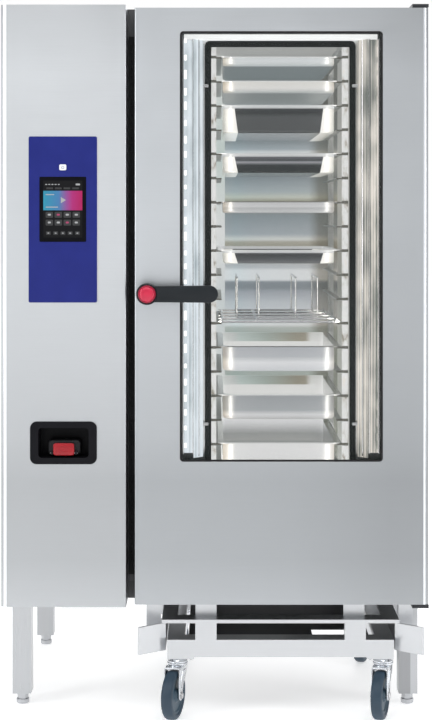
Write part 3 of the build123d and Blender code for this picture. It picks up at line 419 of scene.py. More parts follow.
HUB = moulded("wheel_hub", (0.045, 0.082, 0.115), 0.42, 900, 0.12, 0.12)
FOOT = steel("foot_steel", (0.50, 0.51, 0.53), 0.3, "z")
LED = glow("light_dots", (1.0, 1.0, 0.98), 1.1, (0.6, 0.6, 0.6))
# the top strip glows as a painted reflection along the window's top edge
TOP_REFLECTION_GLOW = glow("strip_top", (0.92, 0.94, 0.93), 0.9, (0.5, 0.5, 0.5))
# painted reflections on the light profiles beside the window
STRIP_COOL = lit_strip("strip_cool", (0.34, 0.42, 0.46), (0.80, 0.88, 0.94), 0.9)
STRIP_WARM = lit_strip("strip_warm", (0.10, 0.12, 0.10), (0.98, 0.90, 0.80), 0.78, 0.42)
GLASS = pane("door_glass", (0.02, 0.035, 0.03), 0.10)

# -------- reflections and shadows


def level_mm(level):
    return TOP_LEVEL - LEVEL_PITCH * (level - 1)


def even(*tint):
    """The same display tone everywhere."""
    return (0, tint), (1, tint)


def light_shade_in_box(material, low, high, colour, roughness=None, shine=None):
    """Paints light or shade into what lies inside a box: a given colour and roughness, and a little light of
    its own.
    """
    shader = Shader.of(material)
    mask = shader.inside(low, high)
    shader.cover(mask, "Base Color", colour)
    if roughness is not None:
        shader.cover(mask, "Roughness", roughness)
    if shine is not None:
        shader.allow_glow()
        shader.cover(mask, "Emission Color", shine)


def banded(material, low, high, up, across=None, base=0.22, roughness=0.5):
    """Soft reflections inside a box: display tones that run up along Z, times tones that run along X."""
    shader = Shader.of(material)
    mask = shader.inside(low, high)
    spot = shader.axes()
    shine = shader.tones_along(spot["Z"], up)
    if across:
        shine = shader.mix(shine, shader.tones_along(spot["X"], across), blend="MULTIPLY")
    shader.allow_glow()
    shader.cover(mask, "Base Color", (base, base, base))
    shader.cover(mask, "Roughness", roughness)
    shader.cover(mask, "Emission Color", shine)


# steel containers: depths by level, and tones of the painted reflections on the front by share of the depth,
# from the flange down
PAN_DEPTHS = {1: 20, 2: 28, 7: 28, 13: 65, 15: 65, 17: 65}
PAN_FRONTS = {
    1: ((0, (222, 228, 230)), (0.5, (236, 240, 242)), (1, (205, 210, 212))),
    2: ((0, (240, 238, 232)), (0.6, (244, 242, 238)), (1, (196, 200, 200))),
    7: ((0, (208, 208, 210)), (0.4, (222, 222, 224)), (0.55, (190, 192, 192)), (1, (212, 212, 214))),
    13: ((0, (184, 187, 193)), (0.4, (192, 195, 200)), (0.65, (244, 245, 248)), (1, (218, 220, 225))),
    15: ((0, (158, 162, 166)), (0.62, (172, 176, 180)), (0.8, (232, 232, 234)), (1, (196, 196, 196))),
    17: ((0, (255, 255, 255)), (1, (252, 252, 252))),
}
FRONT_ACROSS = (
    (14, (225, 205, 180)), (30, (255, 244, 228)), (54, (248, 248, 248)), (290, (248, 248, 248)),
    (308, (255, 252, 246)), (326, (215, 200, 185)),
)
PAN_UNDERSIDES = {1: (112, 120, 123), 2: (140, 146, 147), 7: (120, 120, 120)}
SHADED_FLANGES = (7, 13)
FULL_PAN_TONES = (
    (-70, (168, 168, 166)), (-40, (150, 152, 151)), (-8, (226, 226, 228)), (3, (236, 236, 238))
)
FAR_WALL_ACROSS = (
    (26, (225, 228, 226)), (58, (210, 214, 212)), (72, (196, 210, 206)), (150, (168, 180, 172)),
    (240, (152, 146, 128)), (268, (158, 150, 132)), (284, (230, 230, 226)), (314, (238, 238, 236)),
)


def shade_pans():
    """Painted reflections and shade on the containers' fronts, flanges, bottoms and the far walls seen over
    their rims.
    """
    corner_front, corner_back = -197, 235  # where the rounded corners end
    for level, depth in PAN_DEPTHS.items():
        top = level_mm(level)
        bottom = top - depth
        up = [(top - depth * share, tint) for share, tint in reversed(PAN_FRONTS[level])]
        banded(PAN, (XC - 151, -234, bottom - 1), (XC + 151, corner_front, top - 0.4), up, FRONT_ACROSS)
        flange = (70 if level in SHADED_FLANGES else 225,) * 3
        banded(PAN, (XC - 164, PAN_FRONT, top - 1), (XC + 164, -233, top + 3), even(*flange))
        if level in PAN_UNDERSIDES:
            tint = PAN_UNDERSIDES[level]
            edge = tuple(value * 0.8 for value in tint)
            across = ((-10, edge), (20, tint), (320, tint), (350, edge))
            white = even(255, 255, 255)
            banded(PAN, (XC - 160, corner_front, bottom - 1), (XC + 160, 284, bottom + 3), white, across)
    for level in (13, 15):
        top = level_mm(level)
        up = ((top - 24, (255,) * 3), (top + 3, (235,) * 3))
        banded(PAN, (XC - 150, corner_back, top - 66), (XC + 150, PAN_BACK, top - 24), even(240, 240, 238))
        banded(PAN, (XC - 150, corner_back, top - 24), (XC + 150, PAN_BACK, top + 3), up, FAR_WALL_ACROSS)
    top = level_mm(17)
    up = [(top + above, tint) for above, tint in FULL_PAN_TONES]
    banded(PAN, (XC - 150, corner_back, top - 70), (XC + 150, PAN_BACK, top + 3), up)
    banded(PAN, (XC - 150, -232, top - 67), (XC + 150, 268, top - 62), even(140, 142, 141))


# dark trays: tones of the painted reflections on the front, by distance under the level, from the tray's
# bottom up
TRAY_FRONTS = {
    3: ((72, (84, 84, 86)), (30, (88, 88, 91)), (18, (50, 50, 54)), (7, (72, 72, 76))),
    5: (
        (50, (34, 34, 38)), (30, (42, 42, 47)), (26, (110, 110, 115)),
        (22, (172, 172, 178)), (17, (72, 72, 78)), (7, (116, 116, 122)),
    ),
    9: ((35, (122, 122, 125)), (24, (88, 88, 92)), (12, (62, 62, 66)), (7, (104, 104, 107))),
}
RIM_TONES = ((-7, (176, 178, 180)), (-2, (214, 215, 216)), (3, (190, 192, 194)))
CORNER_START = 118  # from the middle, where the flat of a tray's front ends
CORNER_TONES = (
    (116, (255, 253, 248)), (128, (255, 252, 245)), (142, (226, 222, 212)), (153, (170, 170, 162)),
)


def bright_corners(shader, top, depth):
    """Light caught by a tray's rounded corners, which draw in a little towards its bottom."""
    spot = shader.axes()
    down = shader.chain(spot["Z"], ("MULTIPLY", -1.0), ("ADD", (top - 7) * MM))
    lean = shader.chain(down, ("MULTIPLY", 9 / (depth - 6)))
    out = shader.chain(spot["X"], ("SUBTRACT", XC * MM), ("ABSOLUTE",), ("ADD", lean))
    box = shader.inside((XC - 160, PAN_FRONT, top - depth - 1), (XC + 160, 270, top - 7))
    mask = shader.chain(out, ("GREATER_THAN", CORNER_START * MM), ("MULTIPLY", box))
    shine = shader.tones_along(out, CORNER_TONES)
    shader.cover(mask, "Base Color", (0.22, 0.22, 0.22))
    shader.cover(mask, "Emission Color", shine)


def enamel():
    """Granite enamel: near black with pale specks and a glassy coat; painted reflections on the trays'
    fronts and rims, painted highlights on their corners.
    """
    shader = Shader("enamel_dark", (0.02, 0.02, 0.022), 0.0, 0.22, Coat_Weight=0.6, Coat_Roughness=0.08)
    cells = shader.new("ShaderNodeTexVoronoi")
    cells.inputs["Scale"].default_value = 1
    shader.link(shader.place((650, 650, 650)), cells.inputs["Vector"])
    shader.vary_colour(cells.outputs["Distance"], (0.11, 0.11, 0.115), (0.018, 0.018, 0.02), 0.0, 0.34)
    shader.bump(cells.outputs["Distance"], 0.1, 0.0002)
    shader.allow_glow()
    for level, tones in TRAY_FRONTS.items():
        top, depth = level_mm(level), tones[0][0]
        up = [(top - under, tint) for under, tint in tones]
        front = (XC - 152, PAN_FRONT, top - depth - 1), (XC + 152, -226, top - 7)
        banded(shader.material, *front, up, base=0.02, roughness=0.3)
        bright_corners(shader, top, depth)
        rim = (XC - 166, PAN_FRONT, top - 7), (XC + 166, 300, top + 3)
        banded(shader.material, *rim, [(top + above, tint) for above, tint in RIM_TONES])
    return shader.material


# what the chamber's rear wall mirrors, up the wall and along it; darker at the right, behind the rack's post
WALL_UP = (
    (945, (166, 175, 168)), (962, (184, 190, 184)), (970, (235, 236, 236)), (990, (212, 214, 218)),
    (1035, (200, 204, 210)), (1072, (158, 164, 172)), (1082, (122, 130, 138)), (1100, (130, 138, 146)),
    (1108, (238, 240, 242)), (1136, (236, 238, 240)), (1144, (196, 200, 204)), (1205, (158, 152, 136)),
    (1222, (176, 172, 158)), (1230, (224, 226, 222)), (1246, (170, 178, 184)), (1300, (140, 150, 156)),
    (1345, (150, 146, 128)), (1358, (206, 210, 198)), (1376, (174, 184, 188)), (1420, (134, 144, 150)),
    (1496, (226, 230, 232)), (1504, (172, 182, 188)), (1530, (136, 145, 150)), (1610, (128, 134, 136)),
)
WALL_ACROSS = (
    (15, (255, 255, 255)), (60, (240, 252, 255)), (110, (246, 250, 252)), (285, (250, 250, 250)),
    (316, (178, 172, 162)), (352, (160, 154, 142)), (378, (205, 200, 190)),
)
LEFT_UP = (
    (330, (224, 226, 222)), (700, (232, 233, 230)), (1000, (212, 220, 222)), (1250, (240, 242, 242)),
    (1480, (206, 220, 216)), (1790, (236, 238, 236)),
)
SIDES_UP = (
    (330, (150, 152, 150)), (900, (170, 170, 165)), (1100, (120, 120, 114)), (1350, (176, 174, 168)),
    (1796, (160, 160, 158)),
)


def shade_chamber():
    wall_front, wall_back, foot, head = 396, 405, 330, 1790
    banded(CHAMBER, (-60, wall_front, foot), (400, wall_back, head), WALL_UP, WALL_ACROSS)
    banded(CHAMBER, (-60, wall_front, foot), (30, wall_back, head), LEFT_UP)
    banded(CHAMBER, (-300, -290, foot), (700, wall_front - 0.5, head + 6), SIDES_UP, base=0.4)


def shade_rack():
    """Front of the rack's posts and rails: patchy reflections with a dark line at each level."""
    shader = Shader.of(RACK)
    shader.allow_glow()
    mask = shader.inside((-14, -252, 340), (354, -228, 1765))
    tones = (
        (0.32, (150, 144, 132)),
        (0.40, (220, 217, 210)),
        (0.48, (246, 247, 246)),
        (0.62, (255, 255, 255)),
        (0.8, (255, 244, 228)),
    )
    patches = shader.noise((60, 60, 26), 3.0, 0.6)
    shader.cover(mask, "Base Color", (0.012, 0.012, 0.012))
    shader.cover(mask, "Roughness", 0.6)
    shader.cover(mask, "Emission Color", shader.ramp(patches, [(at, light_of(*tint)) for at, tint in tones]))
    start = (level_mm(20) - 4) * MM
    line = shader.chain(
        shader.axes()["Z"],
        ("SUBTRACT", start),
        ("FLOORED_MODULO", LEVEL_PITCH * MM),
        ("LESS_THAN", 0.0075),
        ("MULTIPLY", mask),
    )
    shader.cover(line, "Emission Color", light_of(88, 86, 80))


def shade_casing():
    """Painted highlights on the bends of the column and the door, painted shadow on the frame in the gap,
    painted shade on the trolley's tray and on a leg.
    """
    proud, bend = FACE - 2, FACE + 1.5
    # painted highlights on the bends of the column and the door
    light_shade_in_box(COLUMN, (-552, proud, 200), (-534.5, bend, 1900), (0.95, 0.96, 0.97), 0.3, (0.30, 0.305, 0.31))
    light_shade_in_box(CASING, (534, proud, 280), (552, bend, 1880), (0.84, 0.87, 0.90), 0.3, (0.09, 0.095, 0.10))
    # painted shadow on the frame in the gap
    light_shade_in_box(CASING, (-228, -300, 295), (-207, -286, 345), (0.08, 0.08, 0.082), 0.5)
    light_shade_in_box(CASING, (-228, -300, 345), (-207, -286, 1850), (0.10, 0.10, 0.103), 0.5)
    # painted shade on the trolley's tray and on the front right leg
    light_shade_in_box(TROLLEY, (XC - 241, -283.2, 180), (XC + 241, 189, 184), (0.15, 0.15, 0.157), 0.6)
    light_shade_in_box(LEG, (400, -420, -5), (520, -200, 310), (0.33, 0.335, 0.345))


shade_chamber()
shade_pans()
shade_rack()
shade_casing()
ENAMEL = enamel()


def paint(node, material):
    thing = NODES[node]
    thing.data.materials.clear()
    thing.data.materials.append(material)


for material, names in (
    (CASING, "left_side_panel right_side_panel rear_panel top_panel door_outer_panel front_frame"),
    (COLUMN, "front_cover"),
    (UNDERSIDE_SHADE, "bottom_plate"),
    (CHAMBER, "cavity_liner fan_baffle fan_wheel_upper fan_wheel_lower steam_injector vent_pipe drain_box"),
    (CHAMBER, "door_inner_panel"),
    (LEG, "base_frame leg_tubes hinge_blocks"),
    (RACK, "trolley_rack"),
    (TROLLEY, "trolley_base trolley_riser trolley_guides"),
    (PAN, "steel_pans"),
    (ENAMEL, "dark_trays"),
    (CHROME, "wire_rack"),
    (SPINDLE, "handle_spindle"),
    (HEATER, "heating_coils"),
    (BRASS, "service_fittings"),
    (MOTOR, "fan_motors"),
    (BLUE, "control_panel"),
    (BEZEL, "touch_display"),
    (WHITE, "power_key"),
    (BOARD, "electrical_tray"),
    (DOCK, "shower_dock"),
    (REEL, "hose_reel_drum"),
    (HINGE, "hinge_brackets hose_reel_bracket"),
    (TRIM, "gap_trim"),
    (GLASS, "door_glass"),
    (FOOT, "foot_front_left foot_front_right foot_rear_left foot_rear_right"),
):
    for name in names.split():
        paint(name, material)

# -------- mesh building


ARC = {"affect": "EDGES", "profile": 0.5}  # round bevels


class Build:
    """Collects rounded solids into one piece. Sizes in millimetres, places in the row's frame."""

    def __init__(self, name, body, *materials):
        self.name, self.body, self.materials = name, body, materials
        self.mesh = bmesh.new()

    def absorb(self, part, slot):
        for face in part.faces:
            face.material_index = slot
        scratch = bpy.data.meshes.new("scratch")
        part.to_mesh(scratch)
        part.free()
        self.mesh.from_mesh(scratch)
        bpy.data.meshes.remove(scratch)

    def box(self, low, high, round_by=0.0, slot=0):
        part = bmesh.new()
        bmesh.ops.create_cube(part, size=1)
        size = Vector(high) - Vector(low)
        centre = (Vector(high) + Vector(low)) / 2
        for vert in part.verts:
            vert.co = Vector(a * b for a, b in zip(vert.co, size))
        if round_by:
            bmesh.ops.bevel(part, geom=part.edges[:], offset=round_by, segments=3, clamp_overlap=True, **ARC)
        for vert in part.verts:
            vert.co += centre
        self.absorb(part, slot)

    def slab(self, outline, axis, start, stop, round_by=0.0, slot=0, place=None, segments=3):
        """An outline in the two other axes, in X, Y, Z order, made solid along one axis."""
        part = bmesh.new()
        first, second = [i for i in range(3) if i != axis]
        rings = []
        for level in (start, stop):
            ring = []
            for a, b in outline:
                spot = [0.0, 0.0, 0.0]
                spot[first], spot[second], spot[axis] = a, b, level
                ring.append(part.verts.new(spot))
            rings.append(ring)
        caps = [part.faces.new(rings[0]), part.faces.new(list(reversed(rings[1])))]
        count = len(outline)
        for i in range(count):
            j = (i + 1) % count
            part.faces.new((rings[0][i], rings[0][j], rings[1][j], rings[1][i]))
        bmesh.ops.recalc_face_normals(part, faces=part.faces[:])
        if round_by:
            edges = list({edge for cap in caps for edge in cap.edges})
            bmesh.ops.bevel(part, geom=edges, offset=round_by, segments=segments, **ARC)
        if place:
            for vert in part.verts:
                vert.co = place @ vert.co
        self.absorb(part, slot)

    def lathe(self, profile, place, slot=0, steps=48, closed=False):
        """Turns a profile of (radius, height) pairs about the local Z axis."""
        part = bmesh.new()
        rings = []
        for radius, height in profile:
            outline = polygon(0, 0, radius, steps) if radius else [(0, 0)]
            rings.append([part.verts.new((x, y, height)) for x, y in outline])
        pairs = list(zip(rings, rings[1:]))
        if closed:
            pairs.append((rings[-1], rings[0]))
        for low, high in pairs:
            for i in range(steps):
                j = (i + 1) % steps
                if len(low) == 1:
                    part.faces.new((low[0], high[i], high[j]))
                elif len(high) == 1:
                    part.faces.new((low[i], low[j], high[0]))
                else:
                    part.faces.new((low[i], low[j], high[j], high[i]))
        bmesh.ops.recalc_face_normals(part, faces=part.faces[:])
        for vert in part.verts:
            vert.co = place @ vert.co
        self.absorb(part, slot)

    def tube(self, path, radius, slot=0, steps=10):
        """Round bar along points, with flat ends."""
        return self.sweep(path, polygon(0, 0, radius, steps), slot)

    def sweep(self, path, section, slot=0, loop=False, up=None):
        """Carries a section along a path; section x runs sideways, y along `up`."""
        part = bmesh.new()
        points = [Vector(p) for p in path]
        count = len(points)
        rings = []
        side = None
        for i, point in enumerate(points):
            before = points[i - 1] if i or loop else points[i]
            after = points[(i + 1) % count] if i < count - 1 or loop else points[i]
            ahead = (after - before).normalized()
            if up is not None:
                top = Vector(up)
                side = ahead.cross(top).normalized()
            else:
                if side is None:
                    side = ahead.cross(Vector((0.123, 0.971, 0.31))).normalized()
                side = (side - ahead * side.dot(ahead)).normalized()
                top = side.cross(ahead).normalized()
            into = (point - before).normalized() if before != point else ahead
            stretch = 1 / max(0.5, into.dot(ahead)) if up is not None else 1
            rings.append([part.verts.new(point + side * x * stretch + top * y) for x, y in section])
        size = len(section)
        pairs = list(zip(rings, rings[1:]))
        if loop:
            pairs.append((rings[-1], rings[0]))
        for low, high in pairs:
            for i in range(size):
                j = (i + 1) % size
                part.faces.new((low[i], low[j], high[j], high[i]))
        if not loop:
            part.faces.new(rings[0])
            part.faces.new(list(reversed(rings[-1])))
        bmesh.ops.recalc_face_normals(part, faces=part.faces[:])
        self.absorb(part, slot)

    def done(self, *replaced, slot):
        """Makes the piece, in metres, and hands it to its body."""
        data = bpy.data.meshes.new(self.name)
        for vert in self.mesh.verts:
            vert.co *= MM
        self.mesh.to_mesh(data)
        self.mesh.free()
        for material in self.materials:
            data.materials.append(material)
        data.polygons.foreach_set("use_smooth", [True] * len(data.polygons))
        data.set_sharp_from_angle(angle=math.radians(35))
        thing = bpy.data.objects.new(self.name, data)
        bpy.context.collection.objects.link(thing)
        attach(thing, self.body)
        if replaced:
            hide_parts(*replaced)


def facing(axis, x, y, z):
    """Puts a turned shape's axis along +X or -Y at a place."""
    about = {"x": "Y", "y": "X"}[axis]
    return Matrix.Translation((x, y, z)) @ Matrix.Rotation(math.radians(90), 4, about)


def polygon(x, y, radius, sides):
    """Corners of a regular polygon, from the first axis on."""
    angles = [2 * math.pi * i / sides for i in range(sides)]
    return [(x + radius * math.cos(angle), y + radius * math.sin(angle)) for angle in angles]


def rounded(cx, cz, w, h, r, steps=8):
    """Outline of a rounded rectangle."""
    points = []
    for sx, sz, start in ((1, 1, 0), (-1, 1, 90), (-1, -1, 180), (1, -1, 270)):
        for i in range(steps + 1):
            angle = math.radians(start + 90 * i / steps)
            x = cx + sx * (w / 2 - r) + r * math.cos(angle)
            points.append((x, cz + sz * (h / 2 - r) + r * math.sin(angle)))
    return points


# -------- operating panel

PANEL_X, KEY_Z = -389.5, 1426.0
GLASS_Y = FACE - 2.6
BAND_STOPS = (
    (0.0, (0.03, 0.23, 0.33)), (0.4, (0.06, 0.17, 0.34)), (0.6, (0.24, 0.07, 0.24)),
    (0.75, (0.34, 0.03, 0.15)), (1.0, (0.34, 0.018, 0.09)),
)
BAND = gradient("screen_band", "X", (PANEL_X - 50) * MM, (PANEL_X + 50) * MM, BAND_STOPS, 0.05)
SLATE_STOPS = ((0, (0.006, 0.006, 0.007)), (1, (0.008, 0.008, 0.009)))
SLATE = gradient("screen_slate", "Z", 1.24, 1.40, SLATE_STOPS, 0.2)
TILE = glow("screen_tile", (0.16, 0.17, 0.20), 0.03, (0.018, 0.018, 0.019))
GLYPH = glow("screen_glyph", (0.85, 0.88, 0.92), 0.2, (0.2, 0.2, 0.2))
ACCENT = glow("screen_accent", (0.85, 0.10, 0.32), 0.2, (0.2, 0.02, 0.06))


def screen():
    """Generic control picture: a heading line, a coloured band and rows of keys, each a thin raised tile."""
    art = Build("screen_picture", "cabinet", SLATE, BAND, TILE, GLYPH, ACCENT)
    slate, band, key, mark, accent = range(5)
    x0 = PANEL_X - 50

    def tile(x, z, w, h, r, slot, lift):
        outline = rounded(x0 + x + w / 2, z + h / 2, w, h, r, 4)
        art.slab(outline, 1, GLASS_Y - lift, GLASS_Y - lift + 0.06, 0, slot)

    tile(0, 1246, 100, 146, 2, slate, 0.08)
    tile(0, 1316, 100, 50, 0.6, band, 0.16)
    for i in range(5):
        tile(5 + i * 8, 1381, 5, 2.4, 1, mark, 0.2)
    tile(83, 1380, 11, 4.4, 1, mark, 0.2)
    for i in range(4):
        tile(8 + i * 22, 1370, 17, 4.6, 1, key, 0.2)
    arrow = [(x0 + 45, 1334), (x0 + 45, 1350), (x0 + 58, 1342)]
    art.slab(arrow, 1, GLASS_Y - 0.24, GLASS_Y - 0.18, 0, mark)
    for i, z in enumerate((1355, 1323)):
        tile(6, z, 22 + i * 10, 2.4, 1, mark, 0.24)
    for row, z in enumerate((1297, 1277)):
        for column in range(4):
            chosen = (row, column) in ((0, 1), (1, 2))
            tile(6 + column * 23, z, 19, 15, 2.4, key, 0.16)
            tile(11.5 + column * 23, z + 5.5, 8, 4.6, 1.8, accent if chosen else mark, 0.24)
    for column in range(5):
        tile(7 + column * 18.6, 1253, 12, 9, 2, key, 0.16)
        tile(10.6 + column * 18.6, 1256.4, 4.8, 2.4, 1.1, mark, 0.24)
    art.done(slot="screen_glass")


screen()

glyph = Build("power_glyph", "power_key", INK)
mark_y, mark_radius, stroke = FACE - 4.62, 3.3, 0.35
ring = []
for angle in [math.radians(a) for a in range(125, 416, 10)]:
    x = PANEL_X + mark_radius * math.cos(angle)
    ring.append((x, mark_y, KEY_Z - 0.4 + mark_radius * math.sin(angle)))
glyph.tube(ring, stroke, 0, 6)
glyph.tube([(PANEL_X, mark_y, KEY_Z + 0.2), (PANEL_X, mark_y, KEY_Z + 3.9)], stroke, 0, 6)
glyph.done(slot="key_white")

# -------- hand shower

DOCK_X, SHOWER_Z = -388.0, 705.0
PIVOT_Y, PIVOT_Z = -374.5, 692
head = Build("spray_head", "hand_shower", SPRAY, SPINDLE, TRIM)
head.slab(rounded(DOCK_X, SHOWER_Z, 84, 38, 9), 1, -365.5, -332.5, 4)
neck = [(0, 0), (13.6, 0), (14, -3), (14, -12), (12.6, -14), (14, -16), (14, -22), (12.6, -24), (13.8, -26)]
neck += [(13.8, -31.5), (0, -31.5)]
head.lathe(neck, facing("y", DOCK_X, -332, SHOWER_Z))
for x in (DOCK_X - 31, DOCK_X + 31):
    head.box((x - 3, -378, 688), (x + 3, -364, 696), 1.2)
    head.lathe(((0, 3.2), (2.6, 3.2), (3, 2.8), (3, 0)), facing("x", x, PIVOT_Y, PIVOT_Z), 1, 20)
pin = ((0, 35), (1.7, 34.6), (1.9, 34), (1.9, -34), (1.7, -34.6), (0, -35))
head.lathe(pin, facing("x", DOCK_X, PIVOT_Y, PIVOT_Z), 1, 16)
for row in range(3):
    for column in range(5):
        place = facing("y", DOCK_X - 16 + column * 8, -366, 712 - row * 6)
        head.lathe(((0, 0.5), (1.3, 0.5), (1.7, 0)), place, 2, 12)
head.done("hand_shower", slot="shower_black")

lever = Build("thumb_lever", "shower_trigger", RED)
lever.slab(rounded(DOCK_X, 703, 54, 32, 7), 1, -386, -378, 2.6)
for i in range(4):
    lever.box((DOCK_X - 20, -386.7, 696 + i * 4.4), (DOCK_X + 20, -385.4, 698 + i * 4.4), 0.5)
barrel = ((2.1, 27), (3.6, 27), (4, 26), (4, -26), (3.6, -27), (2.1, -27))
lever.lathe(barrel, facing("x", DOCK_X, PIVOT_Y, PIVOT_Z), 0, 24, True)
lever.box((DOCK_X - 20, -380, 688.6), (DOCK_X + 20, -376.4, 695), 0.8)
lever.done("shower_trigger", slot="trigger_red")

# -------- door handle

HANDLE_X, HANDLE_Z = -172.0, 1104.0
on_handle = facing("y", HANDLE_X, FACE, HANDLE_Z)
grip = Build("lever_grip", "handle", HANDLE)
boss = [(7.2, 0.6), (24, 0.6), (25.5, 2), (25.5, 6), (24.5, 8), (25, 30), (27.5, 38), (27.5, 58), (26.4, 61)]
boss += [(24.2, 62), (23.2, 61.4), (23.2, 56), (7.2, 56)]
grip.lathe(boss, on_handle, 0, 64, True)
arm, arm_end, arm_half = [], 158.5, 21.5
for i in range(13):
    angle = math.radians(-90 + 180 * i / 12)
    x = HANDLE_X + arm_end + arm_half * math.cos(angle)
    arm.append((x, HANDLE_Z + arm_half * math.sin(angle)))
for x, z in ((18, 20.6), (23.4, 12), (23.6, 0), (23.4, -12), (18, -20.6)):
    arm.append((HANDLE_X + x, HANDLE_Z + z))
grip.slab(arm, 1, -452, -430, 3.2)
grip.done("handle_lever", slot="handle_dark")

cap = Build("handle_dome", "handle", CAP_RIM, CAP_RED)
rim = ((0, 57), (22.5, 57), (22.5, 63), (22.1, 65), (21.2, 66.2), (20, 66.4), (19.2, 65.6), (0, 65.6))
dome = ((0, 65), (19, 65), (19, 66.5), (18.4, 68), (16.5, 69.4), (13, 70.6), (8, 71.3), (3, 71.6), (0, 71.6))
cap.lathe(rim, on_handle, 0, 64)
cap.lathe(dome, on_handle, 1, 64)
cap.done("handle_cap", slot="cap_red")

# -------- door: gaskets, inner frame, lights

WINDOW = (XC, 1223.5, 520.0, 1103.0)
INNER = (XC, 1187.5, 388.0, 1135.0)
PANE_Y = -314.0
FORWARD = (0, -1, 0)


def ring_path(cx, cz, w, h, r, y):
    return [(x, y, z) for x, z in rounded(cx, cz, w, h, r, 6)]


gasket = Build("window_gasket", "door", SEAL)
lip = [(-2.6, -0.9), (-2.0, 0.2), (-0.6, 0.5), (1.4, 0.3), (2.4, -0.6), (2.4, -2.3), (-2.6, -2.3)]
x, z, w, h = WINDOW
gasket.sweep(ring_path(x, z, w - 5.4, h - 5.4, 7, FACE), lip, 0, True, FORWARD)
x, z, w, h = INNER
surround = [(-8.2, 12), (-7.3, 12.9), (7.2, 12.9), (8.2, 12), (8.2, -2.6), (5.7, -3.6), (5.7, -6.2)]
surround += [(4.9, -7), (-4.9, -7), (-5.7, -6.2)]
gasket.sweep(ring_path(x, z, w - 12, h - 12, 5, PANE_Y + 6.2), surround, 0, True, FORWARD)
gasket.done("glass_seals", slot="seal_black")

clips = Build("pane_clips", "door", SPINDLE)
for side in (-1, 1):
    for z in (1640, 760):
        clips.box((XC + side * 200 - 13, -322, z - 4), (XC + side * 200 + 13, -318, z + 4), 1.2)
        place = facing("y", XC + side * 208, -322, z)
        clips.lathe(((0, 2.4), (2.6, 2.2), (3.4, 1.2), (3.4, 0)), place, 0, 20)
clips.done(slot="casing_steel")

spread = random.Random(7)
lights = Build("light_profiles", "door", CHROME, STRIP_COOL, STRIP_WARM, LED, TOP_REFLECTION_GLOW)
half_channel = [(-13, -10), (-13, 10), (-11.4, 10), (-11.4, -7.6)]
channel = half_channel + [(-x, height) for x, height in reversed(half_channel)]
cool, warm, dots, top_reflection = 1, 2, 3, 4  # the bars' materials: painted reflections on the profiles, lamp dots, and a painted reflection along the window's top
for side, tint, spots in ((-1, cool, dots), (1, warm, warm)):
    x = XC + side * 239
    lights.sweep([(x, -362, 690), (x, -362, 1757)], channel, 0, False, FORWARD)
    lights.slab(rounded(x, -366.8, 22, 4.4, 1.6, 4), 2, 692, 1755, 0, tint)
    for i in range(26):
        z = 704 + i * 41.4 + spread.uniform(-5, 5)
        length = spread.uniform(11, 26)
        outline = rounded(x + side * 7, z + 9, 7, length, 2.6, 4)
        lights.slab(outline, 1, -370.4, -368.8, 0.4, spots)
    for z in (760, 1210, 1660):
        lights.box((x - 12.6, -352, z), (x + 12.6, -303.4, z + 20), 1)
    inner, outer = XC + side * 201, XC + side * 225.5
    lights.slab([(inner, -326), (outer, -350), (outer, -348), (inner, -324)], 2, 676, 1768, 0, tint)
    lights.tube([(XC + side * 212, -340.5, 680), (XC + side * 212, -340.5, 1764)], 1.5, 0, 8)
# painted reflection along the window's top edge
wedge = [(-350, 1759), (-324, 1757.5), (-324, 1759.5), (-350, 1771)]
lights.slab(wedge, 0, XC - 250, XC + 250, 0, top_reflection)
lights.done("light_bars", slot="light_cover")

# -------- chamber seal

seal = Build("chamber_seal", "cabinet", SEAL)
seal_y, inset, corner = -289, 8.5, 14
half, foot_z, top_z = 222 - inset, 373, 1797 - inset
arch = [(XC - half, seal_y, foot_z), (XC - half, seal_y, top_z - corner)]
for i in range(1, 8):
    angle = math.radians(180 - 90 * i / 7)
    x = XC - half + corner + corner * math.cos(angle)
    arch.append((x, seal_y, top_z - corner + corner * math.sin(angle)))
arch += [(2 * XC - x, y, z) for x, y, z in reversed(arch[1:])]
arch.append((XC + half, seal_y, foot_z))
half_bulb = [(-8, 0.2), (-8, 2.6), (-5.4, 3.4), (-6.2, 6), (-5, 9), (-2, 10.8)]
bulb = half_bulb + [(-x, height) for x, height in reversed(half_bulb)]
seal.sweep(arch, bulb, 0, False, FORWARD)
seal.done("door_seal", slot="seal_black")

# -------- casters

YAW = math.radians(-17)
WHEEL_R, TRAIL = 62.5, 35.0
CASTER_X, CASTER_FRONT, CASTER_REAR = 268, -312.0, 236.0


